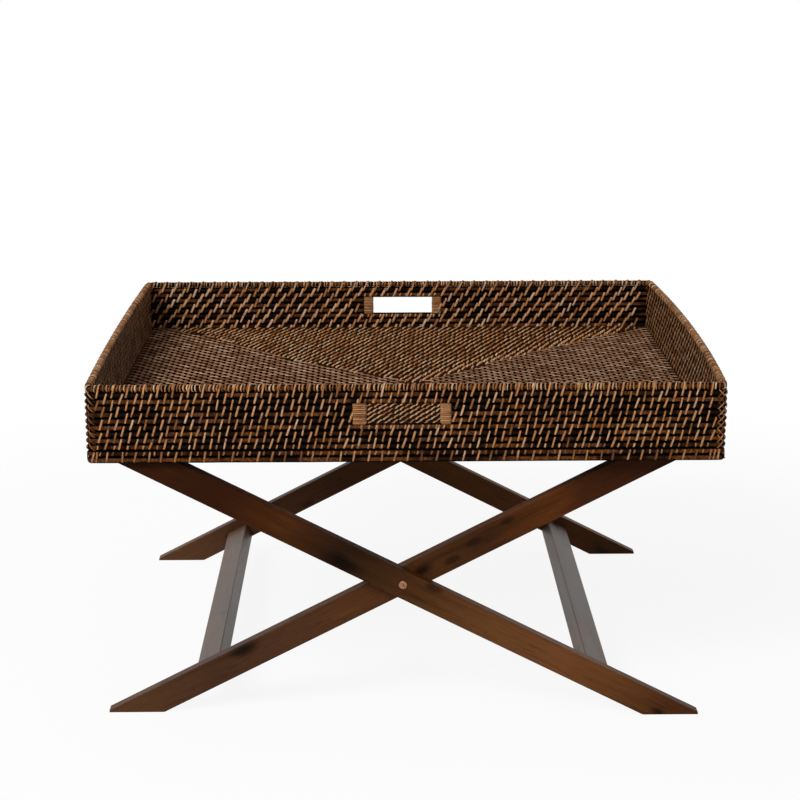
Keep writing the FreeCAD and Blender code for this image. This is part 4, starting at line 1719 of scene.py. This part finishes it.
    def build(self) -> None:
        """Build all four fields of the floor."""
        keep, plan, finishes = self.weaver.keep, self.plan, self.finishes
        radius = plan.floor_radius
        arc = [math.pi * i / self.arc_runs for i in range(self.arc_runs + 1)]
        profile = keep(section("floor_section", [(-radius, 0.0)] + [
            (-radius * math.cos(a), -plan.floor_lift - plan.floor_rise * math.sin(a)) for a in arc]
            + [(radius, 0.0)]))
        slanted, steep, left, right = (keep(stitch.build(name, plan)) for name, stitch in (
            ("long_stitch", self.long_stitch),
            ("steep_stitch", replace(self.long_stitch, step=self.steep_step)),
            ("left_stitch", replace(self.side_stitch, step=self.left_step)),
            ("right_stitch", replace(self.side_stitch, step=self.right_step))))
        for side in Side:
            if side.is_long:
                self.build_field(side, self.long_field, profile, (slanted, steep), finishes["long_floor_rod"],
                                 finishes["floor_strand"])
            else:
                self.build_field(side, self.side_field, profile, (left if side is Side.LEFT else right,),
                                 finishes["side_floor_rod"], finishes["side_floor_strand"])


# Higher than any noise, so that a rod shows no worn patch.
UNWORN = 2.0


def tray_finishes(plan: TrayPlan) -> dict[str, Material]:
    """Build the finishes of the tray.

    Args:
        plan: The tray's sizes, which place the rows of rods and the painted shade in the gaps between them.

    Returns:
        The materials, by name.
    """
    walls, floor = (plan.base, plan.pitch), (plan.floor_base, plan.pitch)
    finishes = (
        RodFinish("stained_rod", *walls),
        # The rim's core and base band have their own painted shade colour in the gaps between rods.
        RodFinish("rim_rod", *walls, dark=shade("24140b"), deep=shade("080402"), worn=0.42),
        # The floor's rods keep their colour on top and go to painted shade down in the valleys between them.
        RodFinish("long_floor_rod", *floor, dark=shade("2c1b11"), worn=UNWORN, gloss=0.0),
        RodFinish("side_floor_rod", *floor, dark=shade("38241a"), worn=UNWORN, gloss=0.0),
        StrandFinish("tan_strand", stops((0.0, "8a5730"), (0.12, "b5794a"), (0.4, "dc9a62"), (0.82, "dfa574"),
                                         (1.0, "f2c498"))),
        StrandFinish("pale_strand", stops((0.0, "9a643a"), (0.12, "cb8e5c"), (0.4, "eaa973"),
                                          (0.82, "f6bd8e"), (1.0, "fdd8b2")), edge=0.7),
        StrandFinish("brown_strand", stops((0.0, "7a4a28"), (0.4, "ad7443"), (0.8, "c98d5a"),
                                           (1.0, "dfa878"))),
        StrandFinish("whipping_strand", stops((0.0, "6b3d1e"), (0.3, "b0733c"), (0.7, "e3a36a"),
                                              (1.0, "ffd9ac")), edge=0.55),
        StrandFinish("floor_strand", stops((0.0, "b4723e"), (0.3, "f0a462"), (0.7, "ffc288"),
                                           (1.0, "ffdcb0")), roughness=0.4, edge=0.35, gloss=0.05),
        StrandFinish("side_floor_strand", stops((0.0, "976848"), (0.35, "c8926d"), (0.75, "e6b28c"),
                                                (1.0, "fad2ae")), roughness=0.45, edge=0.25, gloss=0.02),
        StrandFinish("post_strand", stops((0.0, "a06a3e"), (0.4, "cf945e"), (1.0, "f0bd8a")), edge=0.8),
        StrandFinish("lashing_strand", stops((0.0, "4a2a13"), (0.4, "8a5529"), (0.75, "b87c48"),
                                             (1.0, "dda06a"))),
    )
    return {finish.name: finish.build() for finish in finishes}


# The stand, which keeps its solids


@dataclass(frozen=True)
class Stand:
    """Finishes of the folding stand, its bolts and the tray's board."""

    slope: float = math.radians(27.14)

    def finishes(self) -> list[tuple[Sequence[str], object]]:
        """Pair the nodes with their finishes.

        Returns:
            Names of nodes, with the finish that they share.
        """
        outer = stops((-0.50, "3a1a06"), (-0.40, "351706"), (-0.29, "4a260a"), (-0.19, "2a170b"),
                      (-0.10, "4c2d13"), (0.03, "6a4222"), (0.15, "754828"), (0.26, "6a4020"),
                      (0.34, "512e14"))
        inner = stops((-0.34, "5a3a24"), (-0.22, "4a2f1e"), (-0.10, "523320"), (0.08, "583317"),
                      (0.20, "462811"), (0.33, "5c3010"), (0.38, "44220c"))
        return [
            (("outer_front_leg", "outer_back_leg"),
             WoodFinish("outer_leg_wood", turn=-self.slope, tones=outer,
                        knots=((-0.197, 0.168, 0.034), (0.322, 0.171, 0.016)))),
            (("inner_front_leg", "inner_back_leg"),
             WoodFinish("inner_leg_wood", turn=self.slope, tones=inner,
                        knots=((-0.17, 0.195, 0.026), (0.115, 0.184, 0.018)))),
            (("outer_lower_rail", "outer_upper_rail", "inner_lower_rail", "inner_upper_rail"),
             WoodFinish("rail_wood", along_y=True, middle=shade("604634"), warm=shade("775842"), gloss=0.5)),
            (("outer_tenons", "inner_tenons"),
             WoodFinish("tenon_wood", dark=shade("8c6a48"), middle=shade("a88661"), warm=shade("bd9c77"),
                        roughness=0.6)),
            (("base_board",),
             WoodFinish("board_wood", dark=shade("24160d"), middle=shade("3c2617"), warm=shade("4d3220"),
                        roughness=0.6)),
            (("pivot_bolts",), MetalFinish("copper_bolt", shade("d59a76"), shade("7c4f38"), metallic=0.5)),
            (("pivot_washers", "pivot_cap_nuts"), MetalFinish("steel_nut", shade("a5a29c"), shade("6f6b64"))),
        ]

    def build(self) -> None:
        """Dress every node that keeps its solid."""
        for names, finish in self.finishes():
            material = finish.build()
            for name in names:
                thing = bpy.data.objects[name]
                thing.data.materials.clear()
                thing.data.materials.append(material)
                LOG.info("%s: %s", name, material.name)


# Studio


WHITE = (1.0, 1.0, 1.0)


@dataclass(frozen=True)
class Lamp:
    """One square soft lamp: its name, where it hangs, its side and its power in watts."""

    name: str
    place: Triple
    size: float
    power: float


@dataclass(frozen=True)
class Studio:
    """Camera, lamps, floor and backdrop. The focal length and the picture's width are in pixels."""

    focal: float = 2017.9
    width: float = 800.0
    sensor: float = 36.0
    sight: float = 60.0
    place: Triple = (-0.04606, -3.14359, 1.15552)
    yaw: float = math.radians(0.69)
    pitch: float = math.radians(13.828)
    roll: float = math.radians(-0.117)
    aim: Triple = (0.0, 0.0, 0.35)
    lamps: tuple[Lamp, ...] = (Lamp("key", (-3.4, -4.4, 4.5), 3.0, 370.0),
                               Lamp("fill", (2.4, -1.9, 1.7), 2.0, 3.0),
                               Lamp("top", (-0.5, 0.5, 3.0), 2.0, 14.0))
    soft_light: float = 0.2
    gloss_range: Range = (-0.25, 0.35, 0.2, 1.0)
    floor_reach: float = 14.0
    floor_range: Range = (-0.6, 0.3, 0.08, 1.0)
    floor_glow: float = 0.9
    floor_grey: Colour = (0.1, 0.1, 0.1)
    floor_bounce: Colour = (0.8, 0.8, 0.8)
    shadow_range: Range = (0.8, 1.8)

    def camera(self) -> None:
        """Set the camera where the photograph was taken."""
        data = bpy.data.cameras.new("camera")
        data.sensor_width = self.sensor
        data.lens = self.focal * data.sensor_width / self.width
        data.clip_end = self.sight
        thing = bpy.data.objects.new("camera", data)
        bpy.context.scene.collection.objects.link(thing)
        level = math.cos(self.pitch)
        forward = Vector((math.sin(self.yaw) * level, math.cos(self.yaw) * level, -math.sin(self.pitch)))
        right = Vector((math.cos(self.yaw), -math.sin(self.yaw), 0))
        up = right.cross(forward)
        c, s = math.cos(self.roll), math.sin(self.roll)
        right, up = right * c + up * s, up * c - right * s
        turn = Matrix((right, up, -forward)).transposed().to_4x4()
        thing.matrix_world = Matrix.Translation(Vector(self.place)) @ turn
        bpy.context.scene.camera = thing

    def hang(self, lamp: Lamp) -> None:
        """Hang one lamp, which faces the table.

        Args:
            lamp: The lamp.
        """
        data = bpy.data.lights.new(lamp.name, "AREA")
        data.shape, data.size, data.energy, data.color = "SQUARE", lamp.size, lamp.power, WHITE
        thing = bpy.data.objects.new(lamp.name, data)
        bpy.context.scene.collection.objects.link(thing)
        place = Vector(lamp.place)
        turn = (Vector(self.aim) - place).to_track_quat("-Z", "Y").to_matrix().to_4x4()
        thing.matrix_world = Matrix.Translation(place) @ turn

    @staticmethod
    def sight_lines(bench: Bench) -> tuple[Socket, Socket]:
        """Tell the camera's rays from the others.

        Args:
            bench: The bench of the world or the material.

        Returns:
            1 for a camera ray, and 1 for a camera, gloss or see-through ray.
        """
        rays = bench.add("ShaderNodeLightPath").outputs
        bright = bench.math("MAXIMUM", rays["Is Glossy Ray"], rays["Is Transmission Ray"])
        return rays["Is Camera Ray"], bench.math("MAXIMUM", rays["Is Camera Ray"], bright)

    def world(self) -> None:
        """White behind the object and in its gloss, plain soft light on the object."""
        world = bpy.data.worlds.new("studio")
        world.use_nodes = True
        world.node_tree.nodes.clear()
        bench = Bench(world.node_tree)
        direct, seen = self.sight_lines(bench)
        at = bench.add("ShaderNodeTexCoord").outputs["Generated"]
        gloss = bench.math("MAXIMUM", bench.spread(bench.split(at)[1], *self.gloss_range), direct)
        soft, white = (bench.out("ShaderNodeBackground", {"Color": WHITE, "Strength": strength})
                       for strength in (self.soft_light, gloss))
        shown = bench.out("ShaderNodeMixShader", {0: seen, 1: soft, 2: white})
        bench.add("ShaderNodeOutputWorld", {0: shown})
        bpy.context.scene.world = world

    def floor(self) -> None:
        """Lay the white floor, which keeps the object's soft shadow."""
        reach = self.floor_reach
        corners = [Vector((x * reach, y * reach, 0)) for x, y in ((-1, -1), (1, -1), (1, 1), (-1, 1))]
        floor = mesh_object("studio_floor", corners, [], [(0, 1, 2, 3)])
        material, bench = new_material("floor_white")
        direct, seen = self.sight_lines(bench)
        at = bench.own_place()
        white = bench.math("MAXIMUM", bench.spread(bench.split(at)[1], *self.floor_range), direct)
        glow, far = (bench.out("ShaderNodeEmission", {"Color": WHITE, "Strength": strength})
                     for strength in (bench.times(white, self.floor_glow), white))
        plain, lit = (bench.out("ShaderNodeBsdfDiffuse", {"Color": colour})
                      for colour in (self.floor_bounce, self.floor_grey))
        near = bench.out("ShaderNodeAddShader", {0: glow, 1: lit})
        reached = bench.add("ShaderNodeVectorMath", {0: at}, operation="LENGTH").outputs["Value"]
        away = bench.spread(reached, *self.shadow_range)
        bright = bench.out("ShaderNodeMixShader", {0: away, 1: near, 2: far})
        shown = bench.out("ShaderNodeMixShader", {0: seen, 1: plain, 2: bright})
        bench.add("ShaderNodeOutputMaterial", {0: shown})
        floor.data.materials.append(material)

    def build(self) -> None:
        """Set up the whole studio."""
        self.camera()
        for lamp in self.lamps:
            self.hang(lamp)
        self.world()
        self.floor()
        bpy.context.scene.view_settings.view_transform = "Standard"


def main() -> None:
    """Build the looks in order, from the camera to the stand."""
    logging.basicConfig(level=logging.INFO, format="%(name)s: %(message)s")
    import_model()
    Studio().build()
    plan, weaver = TrayPlan(), Weaver()
    finishes = tray_finishes(plan)
    for part in (WallWeave, Rim, SlotBinding, CornerLashing, FloorWeave):
        part(plan, weaver, finishes).build()
    Stand().build()
    weaver.clear()


if __name__ == "__main__":
    main()
